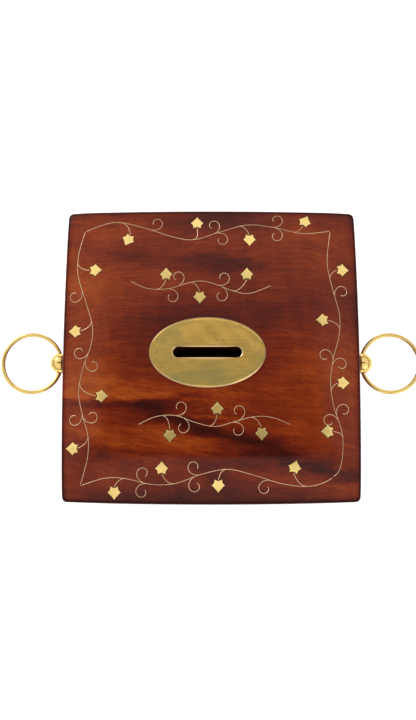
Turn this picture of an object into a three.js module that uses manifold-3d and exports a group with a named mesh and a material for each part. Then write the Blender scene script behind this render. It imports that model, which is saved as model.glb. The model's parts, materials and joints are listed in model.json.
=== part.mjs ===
// Donation box: a square hardwood box with a hinged, cushion-topped lid. The lid has an oval brass
// slot plate and an inlay of brass vines and leaves, and a ring handle hangs on each side wall.
//
// Millimetres, +Z up, front towards -Y. The origin is the centre of the base, on its underside.

import * as THREE from 'three';
import { mergeVertices } from 'three/addons/utils/BufferGeometryUtils.js';
import Module from 'manifold-3d';

// Body
const bodySide = 150;
const bodyHeight = 92;
const wallThickness = 10;
const bodyCornerRadius = 2;
const lapThickness = 4; // what is left of the front and back boards where the side boards lap in
const baseThickness = 6;
const baseRebate = 4;
const baseClearance = 0.15;

// Lid
const lidOverhang = 1;
const lidThickness = 16;
const lidBow = 1.2; // how far the middle of each side stands out past its corners
const lidCornerRadius = 3;
const lidGap = 0.5;
const borderWidth = 24;
const borderDrop = 5;
const borderPower = 1.5;
const mitreBlend = 16; // width of the band in which two sloping borders round into each other
const borderSteps = 5;

// Slot plate and the slot under it
const plateLength = 60;
const plateWidth = 36.6;
const plateThickness = 1.2;
const plateBevel = 0.6;
const plateShift = -2;
const slotLength = 35.5;
const slotWidth = 5.4;
const slotMargin = 0.8; // how much wider the slot in the wood is, all round
const plateNailSpacing = 52.5;
const plateNailHead = 1.1;
const plateNailShank = 0.6;
const plateNailLength = 9;
const plateNailTip = 1; // the tapered end
const plateNailDome = 0.5;

// Inlay
const patternSide = 152; // the side of the lid that the vines below are drawn for
const vineWidth = 0.6;
const inlayDepth = 0.8;
const inlayProud = 0.08;
const inlayClearance = 0.12;
const vineStep = 4;
const stemSteps = 3;
const stemGap = 0.5;

// Ring handles
const handleDrop = 40; // from the lid's top down to the middle of the ball
const ballRadius = 5.65;
const ballStandOff = 9; // from the wall to the middle of the ball
const ringRadius = 16.15;
const wireRadius = 1.1;
const wireClearance = 0.3; // between the bent wire and the straight hole it runs through
const shankRadius = 2.4;
const shankClearance = 0.3;
const shankEnd = 0.6; // how far the shank stands out past its nut
const flangeRadius = 5.5;
const flangeThickness = 1.6;
const neckRadius = 2.4;
const neckCove = 0.8; // size of the slope between flange and neck
const washerRadius = 6;
const washerThickness = 0.8;
const nutAcrossFlats = 8;
const nutThickness = 3.2;
const threadClearance = 0.1;

// Hinges
const hingeSpacing = 84;
const hingeLength = 25;
const hingeCover = 1.8; // wood left between the leaf's far edge and the inside of the box
const hingeLeafThickness = 1.1;
const hingeSetBack = 0.2; // how far the axis lies behind the back wall
const knuckleRadius = 2.2;
const knuckleGap = 0.3;
const knuckleClearance = 0.35;
const hingePinRadius = 0.9;
const hingePinClearance = 0.1;
const hingePinHead = 0.6;
const hingePinPlay = 0.05; // between the pin's head and the last knuckle
const hingeScrewSpacing = 15;
const hingeScrewRadius = 1.2;
const mortiseClearance = 0.2;

// Lock
const lockWidth = 40;
const lockHeight = 26;
const lockDepth = 6.4;
const lockWall = 1;
const lockClearance = 0.2;
const lockPlateEar = 5;
const lockPlateThickness = 1;
const lockPlateDrop = 3; // how far the back plate's top edge lies below the rim
const lockScrewHead = 2;
const lockScrewShank = 1;
const lockScrewCover = 3; // wood left in front of a lock screw's tip
const lockScrewHeadHeight = 0.9;
const lockScrewTip = 1.5; // the tapered end
const keyHeight = 16.5; // from the rim down to the keyhole's middle
const keyRadius = 2.2;
const keySlitWidth = 1.8;
const keySlitLength = 7.5;
const keyholeMargin = 0.6;
const boltTop = 5; // from the rim down to the top of the bolt
const boltHeight = 5;
const boltLength = 15;
const boltTail = -10; // where the drawn bolt's tail lies, from the lock's middle
const boltThickness = 4.4;
const boltNoseLength = 6.4;
const boltNoseHeight = 3;
const boltNoseThickness = 2;
const boltClearance = 0.1;
const boltNotch = 4;
const boltNotchDepth = 1.8;
const boltRailLength = 4.5;
const boltRailHeight = 1.4;
const springThickness = 0.4;
const springWidth = 3;
const springSpan = 12;
const linkPlace = 13; // the link's middle, from the lock's middle
const linkThickness = 2;
const linkWidth = 4;
const linkDrop = 11.2; // how far the link hangs below the lid
const linkWall = 1; // below the link's eye
const linkSide = 0.8; // beside it
const linkClearance = 0.6;
const linkPlateLength = 36;
const linkPlateWidth = 8;
const linkPlateThickness = 1.2;
const linkScrewRadius = 1.2;
const linkScrewPlaces = [-13, 4];
const keyPlateWidth = 15;
const keyPlateHeight = 24;
const keyPlateThickness = 0.9;
const keyPlateBevel = 0.4;

// Fineness of round shapes
const roundSides = 18;
const smallSides = 12;
const ballSteps = 6;
const ringSides = 8;
const ringSteps = 32;
const arcSteps = 3; // half the number of steps in a rounded end or corner
const plateSteps = 14; // half the number of steps round an oval plate
const sideSteps = 5; // steps along each bowed side of the lid
const mergeDistance = 1e-4;

// Places that follow from the sizes above
const half = bodySide / 2;
const inner = half - wallThickness;
const lidHalf = half + lidOverhang;
const lidBottom = bodyHeight + lidGap;
const lidTop = lidBottom + lidThickness;
const flatHalf = lidHalf - borderWidth;
const handleHeight = lidTop - handleDrop;
const wireSag = ringRadius - Math.sqrt(ringRadius ** 2 - ballRadius ** 2); // of the wire in the ball
const ballHoleRadius = wireRadius + wireSag / 2 + wireClearance;
const hingeLeafWidth = wallThickness + hingeSetBack - hingeCover; // from the axis to the far edge
const hingeAxisY = half + hingeSetBack;
const hingeAxisZ = bodyHeight + lidGap / 2;
const pocketFront = -inner - lockDepth;
const lockScrewLength = wallThickness - lockScrewCover;
const lockMiddleY = pocketFront + lockWall + (lockDepth - lockWall) / 2;
const boltHigh = bodyHeight - boltTop;
const boltLow = boltHigh - boltHeight;

const wasm = await Module();
wasm.setup();

// ---- Materials -------------------------------------------------------------------------------

const material = (color, roughness, metalness) =>
  new THREE.MeshStandardMaterial({ color, roughness, metalness });
const lacqueredWood = () => material(0x7d3419, 0.32, 0);
const plainWood = () => material(0x9b6a42, 0.6, 0);
const agedBrass = () => material(0xa58a42, 0.42, 1);
const leafBrass = () => material(0xe6cf86, 0.35, 1);
const vineBrass = () => material(0xd49a72, 0.35, 1);
const polishedBrass = () => material(0xd9b25a, 0.16, 1);
const hingeBrass = () => material(0xc39b4b, 0.28, 1);
const steel = () => material(0x8b8d90, 0.38, 1);

// ---- Building blocks -------------------------------------------------------------------------

// A closed three.js geometry as a solid that can be joined and cut.
function solid(geometry) {
  geometry.deleteAttribute('normal');
  geometry.deleteAttribute('uv');
  const merged = mergeVertices(geometry, mergeDistance);
  const corners = merged.getIndex().array;
  const triVerts = [];
  for (let i = 0; i < corners.length; i += 3) {
    const face = [corners[i], corners[i + 1], corners[i + 2]];
    if (new Set(face).size === 3) triVerts.push(...face);
  }
  const vertProperties = merged.getAttribute('position').array;
  const mesh = new wasm.Mesh({ numProp: 3, vertProperties, triVerts: new Uint32Array(triVerts) });
  return new wasm.Manifold(mesh);
}

// A solid as a named mesh.
function piece(name, body, finish) {
  const { vertProperties, triVerts } = body.getMesh();
  const geometry = new THREE.BufferGeometry();
  geometry.setAttribute('position', new THREE.BufferAttribute(vertProperties, 3));
  geometry.setIndex(new THREE.BufferAttribute(triVerts, 1));
  geometry.computeVertexNormals();
  const mesh = new THREE.Mesh(geometry, finish);
  mesh.name = name;
  return mesh;
}

const joined = (solids) => solids.reduce((whole, next) => whole.add(next));

// A box between two corners.
function block([x0, y0, z0], [x1, y1, z1]) {
  const geometry = new THREE.BoxGeometry(x1 - x0, y1 - y0, z1 - z0);
  return solid(geometry.translate((x0 + x1) / 2, (y0 + y1) / 2, (z0 + z1) / 2));
}

// A round bar along X, Y or Z, from one place on that axis to another.
function bar(axis, radius, low, high, sides = smallSides) {
  const geometry = new THREE.CylinderGeometry(radius, radius, high - low, sides);
  geometry.translate(0, (low + high) / 2, 0);
  if (axis === 'x') geometry.rotateZ(-Math.PI / 2);
  if (axis === 'z') geometry.rotateX(Math.PI / 2);
  return solid(geometry);
}

// An outline pushed along X (drawn in YZ), along Y (drawn in XZ) or along Z (drawn in XY).
function prism(axis, outline, low, high, curveSegments = arcSteps) {
  const settings = { depth: high - low, bevelEnabled: false, curveSegments };
  const geometry = new THREE.ExtrudeGeometry(outline, settings);
  if (axis === 'z') return solid(geometry.translate(0, 0, low));
  geometry.rotateX(Math.PI / 2);
  if (axis === 'y') return solid(geometry.translate(0, high, 0));
  return solid(geometry.rotateZ(Math.PI / 2).translate(low, 0, 0));
}

const polygon = (points) => new THREE.Shape(points.map(([x, y]) => new THREE.Vector2(x, y)));

function ellipse(radiusX, radiusY) {
  return new THREE.Shape().absellipse(0, 0, radiusX, radiusY, 0, 2 * Math.PI, false, 0);
}

// A slot outline with round ends.
function stadium(length, width) {
  const reach = (length - width) / 2;
  const outline = new THREE.Shape();
  outline.absarc(reach, 0, width / 2, -Math.PI / 2, Math.PI / 2, false);
  outline.absarc(-reach, 0, width / 2, Math.PI / 2, 1.5 * Math.PI, false);
  return outline;
}

// A flat plate along Z with its top edge bevelled.
function bevelledPlate(outline, thickness, bevel) {
  const settings = {
    depth: thickness - bevel,
    bevelThickness: bevel,
    bevelSize: bevel,
    bevelOffset: -bevel,
    bevelSegments: 1,
    curveSegments: plateSteps,
  };
  const geometry = new THREE.ExtrudeGeometry(outline, settings);
  const below = block([-plateLength, -plateLength, -plateLength], [plateLength, plateLength, 0]);
  return solid(geometry).subtract(below);
}

// ---- Lid -------------------------------------------------------------------------------------

// Height of the lid's top: flat in the middle, falling faster and faster towards the edges. Near
// the diagonals, where two borders meet, the farther of the two reaches is blended with the other.
function lidSurface(x, y) {
  const reachX = Math.abs(x);
  const reachY = Math.abs(y);
  const blend = Math.max(mitreBlend - Math.abs(reachX - reachY), 0) / mitreBlend;
  const reach = Math.max(reachX, reachY) + (blend * blend * mitreBlend) / 4;
  const fall = Math.max(reach - flatHalf, 0) / borderWidth;
  return lidTop - borderDrop * fall ** borderPower;
}

// A square slab whose top and bottom heights are functions of the place. Its grid lines are close
// together in the sloping border only.
function slab(bottomHeight, topHeight) {
  const steps = borderSteps + 1;
  const first = flatHalf - mitreBlend / 4;
  const last = lidHalf + lidBow + 1;
  const place = (share) => {
    const line = Math.round(Math.abs(share) * steps);
    if (line === 0) return 0;
    return Math.sign(share) * (first + ((line - 1) * (last - first)) / borderSteps);
  };
  const geometry = new THREE.BoxGeometry(2, 2, 2, 2 * steps, 2 * steps, 1);
  const points = geometry.getAttribute('position');
  for (let i = 0; i < points.count; i += 1) {
    const x = place(points.getX(i));
    const y = place(points.getY(i));
    const height = points.getZ(i) > 0 ? topHeight(x, y) : bottomHeight(x, y);
    points.setXYZ(i, x, y, height);
  }
  return solid(geometry);
}

// The lid seen from above: four bowed sides with rounded corners.
function lidOutline() {
  const outline = new THREE.Shape();
  const start = lidHalf - lidCornerRadius;
  const corners = [[1, -1], [1, 1], [-1, 1], [-1, -1]];
  outline.moveTo(start, -lidHalf);
  corners.forEach(([cx, cy], i) => {
    const [nx, ny] = corners[(i + 1) % 4];
    const side = [(cx + nx) / 2, (cy + ny) / 2]; // unit step outwards from the side's middle
    const run = [(nx - cx) / 2, (ny - cy) / 2];
    const from = [side[0] * lidHalf - run[0] * start, side[1] * lidHalf - run[1] * start];
    const to = [side[0] * lidHalf + run[0] * start, side[1] * lidHalf + run[1] * start];
    const pull = lidHalf + 2 * lidBow;
    outline.quadraticCurveTo(cx * lidHalf, cy * lidHalf, from[0], from[1]);
    outline.quadraticCurveTo(side[0] * pull, side[1] * pull, to[0], to[1]);
  });
  return outline;
}

// The room that one hinge takes up in the wood: the leaf's mortise and the barrel's notch.
function hingeNotch(leafLow, leafHigh) {
  const reach = hingeLength / 2 + mortiseClearance;
  const barrelReach = reach + hingePinHead;
  const barrelRadius = knuckleRadius + knuckleClearance;
  const front = hingeAxisY - hingeLeafWidth - mortiseClearance;
  const mortise = block([-reach, front, leafLow], [reach, hingeAxisY + barrelRadius, leafHigh]);
  const barrel = bar('x', barrelRadius, -barrelReach, barrelReach);
  return mortise.add(barrel.translate([0, hingeAxisY, hingeAxisZ]));
}

function hingeNotches(leafLow, leafHigh) {
  const notch = hingeNotch(leafLow, leafHigh);
  return notch.translate([-hingeSpacing / 2, 0, 0]).add(notch.translate([hingeSpacing / 2, 0, 0]));
}

function lidBoard(pockets) {
  const board = slab(() => lidBottom, lidSurface).intersect(
    prism('z', lidOutline(), lidBottom, lidTop + 1, sideSteps),
  );
  const slot = stadium(slotLength + 2 * slotMargin, slotWidth + 2 * slotMargin);
  const slotCut = prism('z', slot, lidBottom - 1, lidTop + 1).translate([plateShift, 0, 0]);
  const plateRecess = linkPlateOutline(lockClearance);
  const linkCut = prism('z', plateRecess, lidBottom - 1, lidBottom + linkPlateThickness);
  const hinges = hingeNotches(lidBottom - 1, lidBottom + hingeLeafThickness);
  const cuts = [slotCut, linkCut.translate([0, lockMiddleY, 0]), hinges, ...pockets];
  const nailHole = bar('z', plateNailShank + threadClearance, lidTop - plateNailLength, lidTop + 1);
  for (const side of [-1, 1]) {
    cuts.push(nailHole.translate([plateShift + (side * plateNailSpacing) / 2, 0, 0]));
  }
  return piece('lid_board', board.subtract(joined(cuts)), lacqueredWood());
}

// ---- Slot plate ------------------------------------------------------------------------------

function slotPlate() {
  const outline = ellipse(plateLength / 2, plateWidth / 2);
  const slot = prism('z', stadium(slotLength, slotWidth), -1, plateThickness + 1);
  let plate = bevelledPlate(outline, plateThickness, plateBevel).subtract(slot);
  const hole = bar('z', plateNailShank + threadClearance, -1, plateThickness + 1);
  for (const side of [-1, 1]) {
    plate = plate.subtract(hole.translate([(side * plateNailSpacing) / 2, 0, 0]));
  }
  return piece('slot_plate', plate.translate([plateShift, 0, lidTop]), agedBrass());
}

// A nail with a low domed head that rests on the plate.
function plateNail(name, side) {
  const tip = plateThickness - plateNailLength + plateNailTip;
  const profile = polygon([
    [0, tip],
    [plateNailShank, tip + plateNailTip],
    [plateNailShank, plateThickness],
    [plateNailHead, plateThickness],
    [(3 * plateNailHead) / 4, plateThickness + (2 * plateNailDome) / 3],
    [0, plateThickness + plateNailDome],
  ]);
  const nail = solid(new THREE.LatheGeometry(profile.getPoints(), smallSides).rotateX(Math.PI / 2));
  const place = [plateShift + (side * plateNailSpacing) / 2, 0, lidTop];
  return piece(name, nail.translate(place), agedBrass());
}

// ---- Inlay -----------------------------------------------------------------------------------

// Each vine is a smooth curve through a few points. A leaf is [share of the way along at which its
// stem leaves, x and y of the leaf's middle, direction of its tip in degrees]. The fine curls that
// also spring from the vines are left out of the solids.
const vines = {
  back: {
    points: [
      [-66, 65], [-51, 70], [-36, 67], [-20, 61.5], [-9, 60],
      [5, 64.5], [19, 68.5], [33, 67], [48, 63.5], [63, 65],
    ],
    leaves: [
      [0.14, -43.5, 60, -115], [0.44, -7.5, 69.5, 90],
      [0.63, 20, 60, -90], [0.85, 49.5, 70.5, 65],
    ],
  },
  left: {
    points: [
      [-67.5, 62.5], [-70, 50], [-69.5, 40], [-65, 26], [-61.5, 14], [-62, 4],
      [-66, -8], [-68, -20], [-66, -31], [-62.5, -43], [-62.5, -53], [-66, -66],
    ],
    leaves: [
      [0.12, -60.5, 43.5, 0], [0.36, -70.5, 11.5, 180],
      [0.6, -56, -22.5, 0], [0.81, -70.5, -49, 180],
    ],
  },
  front: {
    points: [
      [61, -64], [48, -68], [35, -66.5], [20, -62], [8, -59.5], [-5, -62],
      [-18, -66.5], [-30, -67], [-44, -64], [-54, -64], [-65, -67.5],
    ],
    leaves: [
      [0.1, 42, -58.5, 75], [0.42, 3.5, -67.5, -90],
      [0.63, -25, -59, 90], [0.82, -49, -71, -90],
    ],
  },
  right: {
    points: [
      [62.5, -62.5], [66.5, -52], [66.5, -41], [62.5, -28], [61, -16], [62.5, -4],
      [66, 9], [66.5, 20], [63, 34], [60.5, 48], [62.5, 63],
    ],
    leaves: [[0.16, 59, -40.5, 180], [0.34, 67.5, -15.5, 0], [0.59, 57.5, 17, 180], [0.8, 68.5, 44, 0]],
  },
  upper: {
    points: [
      [-42, 37.5], [-33, 33.5], [-22, 33.5], [-12, 36.5], [-5, 37.5],
      [3, 35.5], [12, 32], [20, 31], [31, 35],
    ],
    leaves: [[0.18, -23.5, 41, 90], [0.42, -6, 29, -90], [0.71, 18.5, 41, 90]],
  },
  lower: {
    points: [
      [-37, -37], [-28, -33], [-18, -32.5], [-8, -36], [2, -38],
      [12, -35.5], [22, -33], [31, -33.5], [40, -37],
    ],
    leaves: [[0.15, -21, -42.5, -90], [0.46, 3, -29, 90], [0.73, 25.5, -41.5, -90]],
  },
};

// One side of a leaf, from the tip to the notch: distance along the leaf and away from its middle.
const leafSide = [[1.5, 1.85], [0.1, 3.3], [-1.4, 1.95], [-2.9, 1.6]];
const leafTip = [3.7, 0];
const leafNotch = [-2.2, 0];
const patternScale = lidHalf / (patternSide / 2);
const degree = Math.PI / 180;

// A strip of even width along a line of points, as an outline.
function ribbon(points, width) {
  const left = [];
  const right = [];
  points.forEach((point, i) => {
    const before = points[Math.max(i - 1, 0)];
    const after = points[Math.min(i + 1, points.length - 1)];
    const along = after.clone().sub(before).normalize();
    const aside = new THREE.Vector2(-along.y, along.x).multiplyScalar(width / 2);
    left.push(point.clone().add(aside));
    right.unshift(point.clone().sub(aside));
  });
  return new THREE.Shape([...right, ...left].reverse());
}

// A stem leaves the vine forwards and ends just short of the notch of its leaf.
function stemPoints(vine, [share, x, y, heading]) {
  const tip = new THREE.Vector2(Math.cos(heading * degree), Math.sin(heading * degree));
  const middle = new THREE.Vector2(x, y).multiplyScalar(patternScale);
  const end = middle.addScaledVector(tip, leafNotch[0] * patternScale - stemGap);
  const start = vine.getPointAt(share);
  const pull = start.clone().addScaledVector(vine.getTangentAt(share), start.distanceTo(end) / 2);
  return new THREE.QuadraticBezierCurve(start, pull, end).getPoints(stemSteps);
}

// A leaf's outline, grown outwards by a margin along the line from the leaf's middle.
function leafOutline([, x, y, heading], margin) {
  const mirrored = leafSide.map(([along, aside]) => [along, -aside]).reverse();
  const points = [leafTip, ...leafSide, leafNotch, ...mirrored].map(([along, aside]) => {
    const point = new THREE.Vector2(along, aside).multiplyScalar(patternScale);
    return point.setLength(point.length() + margin);
  });
  const middle = new THREE.Vector2(x, y).multiplyScalar(patternScale);
  return new THREE.Shape(
    points.map((p) => p.rotateAround(new THREE.Vector2(), heading * degree).add(middle)),
  );
}

const strip = (points, width) => prism('z', ribbon(points, width), lidBottom, lidTop + 1);

// The whole of one vine, cut from the space between two surfaces.
function vineSolid({ points, leaves }, width, layer) {
  const drawn = points.map(([x, y]) => new THREE.Vector2(x, y).multiplyScalar(patternScale));
  const vine = new THREE.SplineCurve(drawn);
  const steps = Math.round(vine.getLength() / (vineStep * patternScale));
  const strips = [strip(vine.getSpacedPoints(steps), width)];
  for (const leaf of leaves) strips.push(strip(stemPoints(vine, leaf), width));
  return joined(strips).intersect(layer);
}

function leafSolid(leaf, margin, layer) {
  return prism('z', leafOutline(leaf, margin), lidBottom, lidTop + 1).intersect(layer);
}

// Every vine and leaf as a mesh, and the pockets that they lie in.
function inlay() {
  const layer = slab(
    (x, y) => lidSurface(x, y) - inlayDepth,
    (x, y) => lidSurface(x, y) + inlayProud,
  );
  const pocketLayer = slab(
    (x, y) => lidSurface(x, y) - inlayDepth - inlayClearance,
    (x, y) => lidSurface(x, y) + 1,
  );
  const pieces = [];
  const pockets = [];
  for (const [name, vine] of Object.entries(vines)) {
    pieces.push(piece(`vine_${name}`, vineSolid(vine, vineWidth, layer), vineBrass()));
    pockets.push(vineSolid(vine, vineWidth + 2 * inlayClearance, pocketLayer));
    vine.leaves.forEach((leaf, i) => {
      pieces.push(piece(`leaf_${name}_${i + 1}`, leafSolid(leaf, 0, layer), leafBrass()));
      pockets.push(leafSolid(leaf, inlayClearance, pocketLayer));
    });
  }
  return { pieces, pockets };
}

// ---- Body ------------------------------------------------------------------------------------

const basePanelBlock = (margin) =>
  block(
    [-inner - baseRebate - margin, -inner - baseRebate - margin, 0],
    [inner + baseRebate + margin, inner + baseRebate + margin, baseThickness],
  );

const basePanel = () => piece('base_panel', basePanelBlock(0), plainWood());

// A board across the box, with rounded outer corners and laps for the side boards at its ends.
// It is drawn for the back of the box.
function crossBoard() {
  const outline = new THREE.Shape();
  const radius = bodyCornerRadius;
  const lap = half - lapThickness;
  outline.moveTo(-half, lap);
  outline.lineTo(-inner, lap);
  outline.lineTo(-inner, inner);
  outline.lineTo(inner, inner);
  outline.lineTo(inner, lap);
  outline.lineTo(half, lap);
  outline.absarc(half - radius, half - radius, radius, 0, Math.PI / 2, false);
  outline.absarc(-half + radius, half - radius, radius, Math.PI / 2, Math.PI, false);
  return prism('z', outline, 0, bodyHeight).subtract(basePanelBlock(baseClearance));
}

function backWall() {
  const notches = hingeNotches(bodyHeight - hingeLeafThickness, bodyHeight + 1);
  return piece('back_wall', crossBoard().subtract(notches), lacqueredWood());
}

function frontWall() {
  const board = crossBoard().mirror([0, 1, 0]);
  const reach = lockWidth / 2 + lockClearance;
  const pocket = block(
    [-reach, pocketFront - lockClearance, bodyHeight - lockHeight - lockClearance],
    [reach, -inner + 1, bodyHeight + 1],
  );
  const keyhole = prism('y', keyholeOutline(keyholeMargin), -half - 1, -inner);
  const cuts = [pocket, keyhole.translate([0, 0, bodyHeight - keyHeight]), lockScrewHoles()];
  return piece('front_wall', board.subtract(joined(cuts)), lacqueredWood());
}

function sideWall(name, side) {
  const end = half - lapThickness;
  const board = block([inner, -end, 0], [half, end, bodyHeight]);
  const hole = bar('x', shankRadius + shankClearance, inner - 1, half + 1);
  const cuts = basePanelBlock(baseClearance).add(hole.translate([0, 0, handleHeight]));
  const wall = board.subtract(cuts);
  return piece(name, side < 0 ? wall.mirror([1, 0, 0]) : wall, lacqueredWood());
}

// ---- Ring handles ----------------------------------------------------------------------------

// The post is turned in one piece: shank, flange, neck and ball. Drawn along X from the wall's
// outer face, with the ball's hole along Y.
function ballPost(name) {
  const tail = -wallThickness - washerThickness - nutThickness - shankEnd;
  const neckAngle = Math.asin(neckRadius / ballRadius);
  const profile = [
    new THREE.Vector2(0, tail),
    new THREE.Vector2(shankRadius, tail),
    new THREE.Vector2(shankRadius, 0),
    new THREE.Vector2(flangeRadius, 0),
    new THREE.Vector2(flangeRadius, flangeThickness / 2),
    new THREE.Vector2(neckRadius + neckCove, flangeThickness),
    new THREE.Vector2(neckRadius, flangeThickness + neckCove),
  ];
  for (let i = 0; i <= ballSteps; i += 1) {
    const angle = (Math.PI - neckAngle) * (1 - i / ballSteps);
    const radius = i === ballSteps ? 0 : ballRadius * Math.sin(angle);
    profile.push(new THREE.Vector2(radius, ballStandOff + ballRadius * Math.cos(angle)));
  }
  const turned = solid(new THREE.LatheGeometry(profile, roundSides).rotateZ(-Math.PI / 2));
  const hole = bar('y', ballHoleRadius, -ballRadius - 1, ballRadius + 1, roundSides);
  return piece(name, turned.subtract(hole.translate([ballStandOff, 0, 0])), polishedBrass());
}

function washer(name) {
  const disc = bar('x', washerRadius, -wallThickness - washerThickness, -wallThickness, roundSides);
  const hole = bar('x', shankRadius + shankClearance, -wallThickness - washerThickness - 1, 0);
  return piece(name, disc.subtract(hole), hingeBrass());
}

function nut(name) {
  const high = -wallThickness - washerThickness;
  const cornerRadius = nutAcrossFlats / 2 / Math.cos(Math.PI / 6);
  const hexagon = bar('x', cornerRadius, high - nutThickness, high, 6);
  const hole = bar('x', shankRadius + threadClearance, high - nutThickness - 1, high + 1, roundSides);
  return piece(name, hexagon.subtract(hole), hingeBrass());
}

// The ring stands out level, with its wire through the ball.
function ring(name) {
  const geometry = new THREE.TorusGeometry(ringRadius, wireRadius, ringSides, ringSteps);
  geometry.rotateZ(Math.PI / ringSteps);
  const loop = solid(geometry).translate([ballStandOff - wireSag / 2 + ringRadius, 0, 0]);
  return piece(name, loop, polishedBrass());
}

// One handle, drawn for the right-hand wall and turned half round for the left-hand one.
function ringHandle(side) {
  const handle = new THREE.Group();
  const words = side < 0 ? 'left' : 'right';
  handle.add(ballPost(`${words}_ball_post`), ring(`${words}_ring`));
  handle.add(washer(`${words}_post_washer`), nut(`${words}_post_nut`));
  handle.rotation.z = side < 0 ? Math.PI : 0;
  handle.position.set(side * half, 0, handleHeight);
  return handle;
}

// ---- Hinges ----------------------------------------------------------------------------------

// A hinge drawn on its own axis: X along the pin, the leaf running forwards to -Y. The body leaf
// has the two outer knuckles and the lid leaf has the middle one.
function hingeLeaf(name, knuckles, low, high) {
  const reach = hingeLength / 2;
  const clear = knuckleRadius + knuckleGap;
  const parts = [block([-reach, -hingeLeafWidth, low], [reach, -clear, high])];
  for (const [from, to] of knuckles) {
    parts.push(block([from, -clear - 1, low], [to, 0, high]));
    parts.push(bar('x', knuckleRadius, from, to));
  }
  const cuts = [bar('x', hingePinRadius + hingePinClearance, -reach - 1, reach + 1)];
  const screwY = -(hingeLeafWidth + clear) / 2;
  const screwHole = bar('z', hingeScrewRadius, low - 1, high + 1).translate([0, screwY, 0]);
  for (const side of [-1, 1]) {
    cuts.push(screwHole.translate([(side * hingeScrewSpacing) / 2, 0, 0]));
  }
  return piece(name, joined(parts).subtract(joined(cuts)), hingeBrass());
}

function hingePin(name) {
  const reach = hingeLength / 2;
  const shaft = bar('x', hingePinRadius, -reach - hingePinHead, reach + hingePinHead);
  const head = bar('x', hingePinRadius + hingePinHead / 2, reach + hingePinPlay, reach + hingePinHead);
  return piece(name, shaft.add(head), hingeBrass());
}

function hinge(side) {
  const group = new THREE.Group();
  const words = side < 0 ? 'left' : 'right';
  const reach = hingeLength / 2;
  const third = hingeLength / 6;
  const rise = lidGap / 2;
  const outer = [[-reach, -third - knuckleGap / 2], [third + knuckleGap / 2, reach]];
  const middle = [[-third + knuckleGap / 2, third - knuckleGap / 2]];
  group.add(hingeLeaf(`${words}_hinge_body_leaf`, outer, -rise - hingeLeafThickness, -rise));
  group.add(hingeLeaf(`${words}_hinge_lid_leaf`, middle, rise, rise + hingeLeafThickness));
  group.add(hingePin(`${words}_hinge_pin`));
  group.position.set((side * hingeSpacing) / 2, hingeAxisY, hingeAxisZ);
  return group;
}

// ---- Lock ------------------------------------------------------------------------------------

// A round hole with a slit below it, drawn around the hole's middle.
function keyholeOutline(margin) {
  const radius = keyRadius + margin;
  const slit = keySlitWidth / 2 + margin;
  const turn = Math.asin(slit / radius);
  const outline = new THREE.Shape();
  outline.moveTo(-slit, -keySlitLength - margin);
  outline.lineTo(slit, -keySlitLength - margin);
  outline.absarc(0, 0, radius, -Math.PI / 2 + turn, 1.5 * Math.PI - turn, false);
  return outline;
}

// The case is open towards the inside of the box. The bolt slides on two rails inside it.
function lockCase() {
  const reach = lockWidth / 2;
  const low = bodyHeight - lockHeight;
  const back = -inner;
  const shell = block([-reach, pocketFront, low], [reach, back, bodyHeight]);
  const hollow = block(
    [-reach + lockWall, pocketFront + lockWall, low + lockWall],
    [reach - lockWall, back + 1, bodyHeight - lockWall],
  );
  const linkSlot = block(
    [linkPlace - linkThickness / 2 - linkClearance, pocketFront + lockWall, bodyHeight - 2 * lockWall],
    [linkPlace + linkThickness / 2 + linkClearance, back + 1, bodyHeight + 1],
  );
  const keyhole = prism('y', keyholeOutline(0), pocketFront - 1, pocketFront + 2 * lockWall);
  const railLow = boltLow - boltClearance - boltRailHeight;
  const rail = block(
    [-boltRailLength / 2, pocketFront + lockWall / 2, railLow],
    [boltRailLength / 2, back - boltClearance, boltLow - boltClearance],
  );
  const nearEnd = boltTail + boltRailLength / 2;
  const farEnd = boltTail + boltLength - boltRailLength / 2;
  const body = shell
    .subtract(hollow)
    .subtract(linkSlot)
    .subtract(keyhole.translate([0, 0, bodyHeight - keyHeight]))
    .add(rail.translate([nearEnd, 0, 0]))
    .add(rail.translate([farEnd, 0, 0]));
  return piece('lock_case', body, steel());
}

function lockBackPlate() {
  const reach = lockWidth / 2 + lockPlateEar;
  const low = bodyHeight - lockHeight;
  const high = bodyHeight - lockPlateDrop;
  const plate = block([-reach, -inner, low], [reach, -inner + lockPlateThickness, high]);
  return piece('lock_back_plate', plate.subtract(lockScrewHoles()), steel());
}

// Where the two lock screws go, in the ears of the back plate.
function lockScrewPlaces() {
  const x = (lockWidth + lockPlateEar) / 2;
  const z = bodyHeight - (lockHeight + lockPlateDrop) / 2;
  return [[-x, 0, z], [x, 0, z]];
}

function lockScrewHoles() {
  const low = -inner - lockScrewLength - 1;
  const hole = bar('y', lockScrewShank + threadClearance, low, -inner + lockPlateThickness + 1);
  return joined(lockScrewPlaces().map((place) => hole.translate(place)));
}

function lockScrew(name, place) {
  const seat = -inner + lockPlateThickness;
  const tip = -inner - lockScrewLength;
  const profile = [
    [0, tip],
    [lockScrewShank, tip + lockScrewTip],
    [lockScrewShank, seat],
    [lockScrewHead, seat],
    [(3 * lockScrewHead) / 4, seat + (3 * lockScrewHeadHeight) / 4],
    [0, seat + lockScrewHeadHeight],
  ].map(([radius, along]) => new THREE.Vector2(radius, along));
  const screw = solid(new THREE.LatheGeometry(profile, smallSides)).translate(place);
  return piece(name, screw, steel());
}

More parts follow.
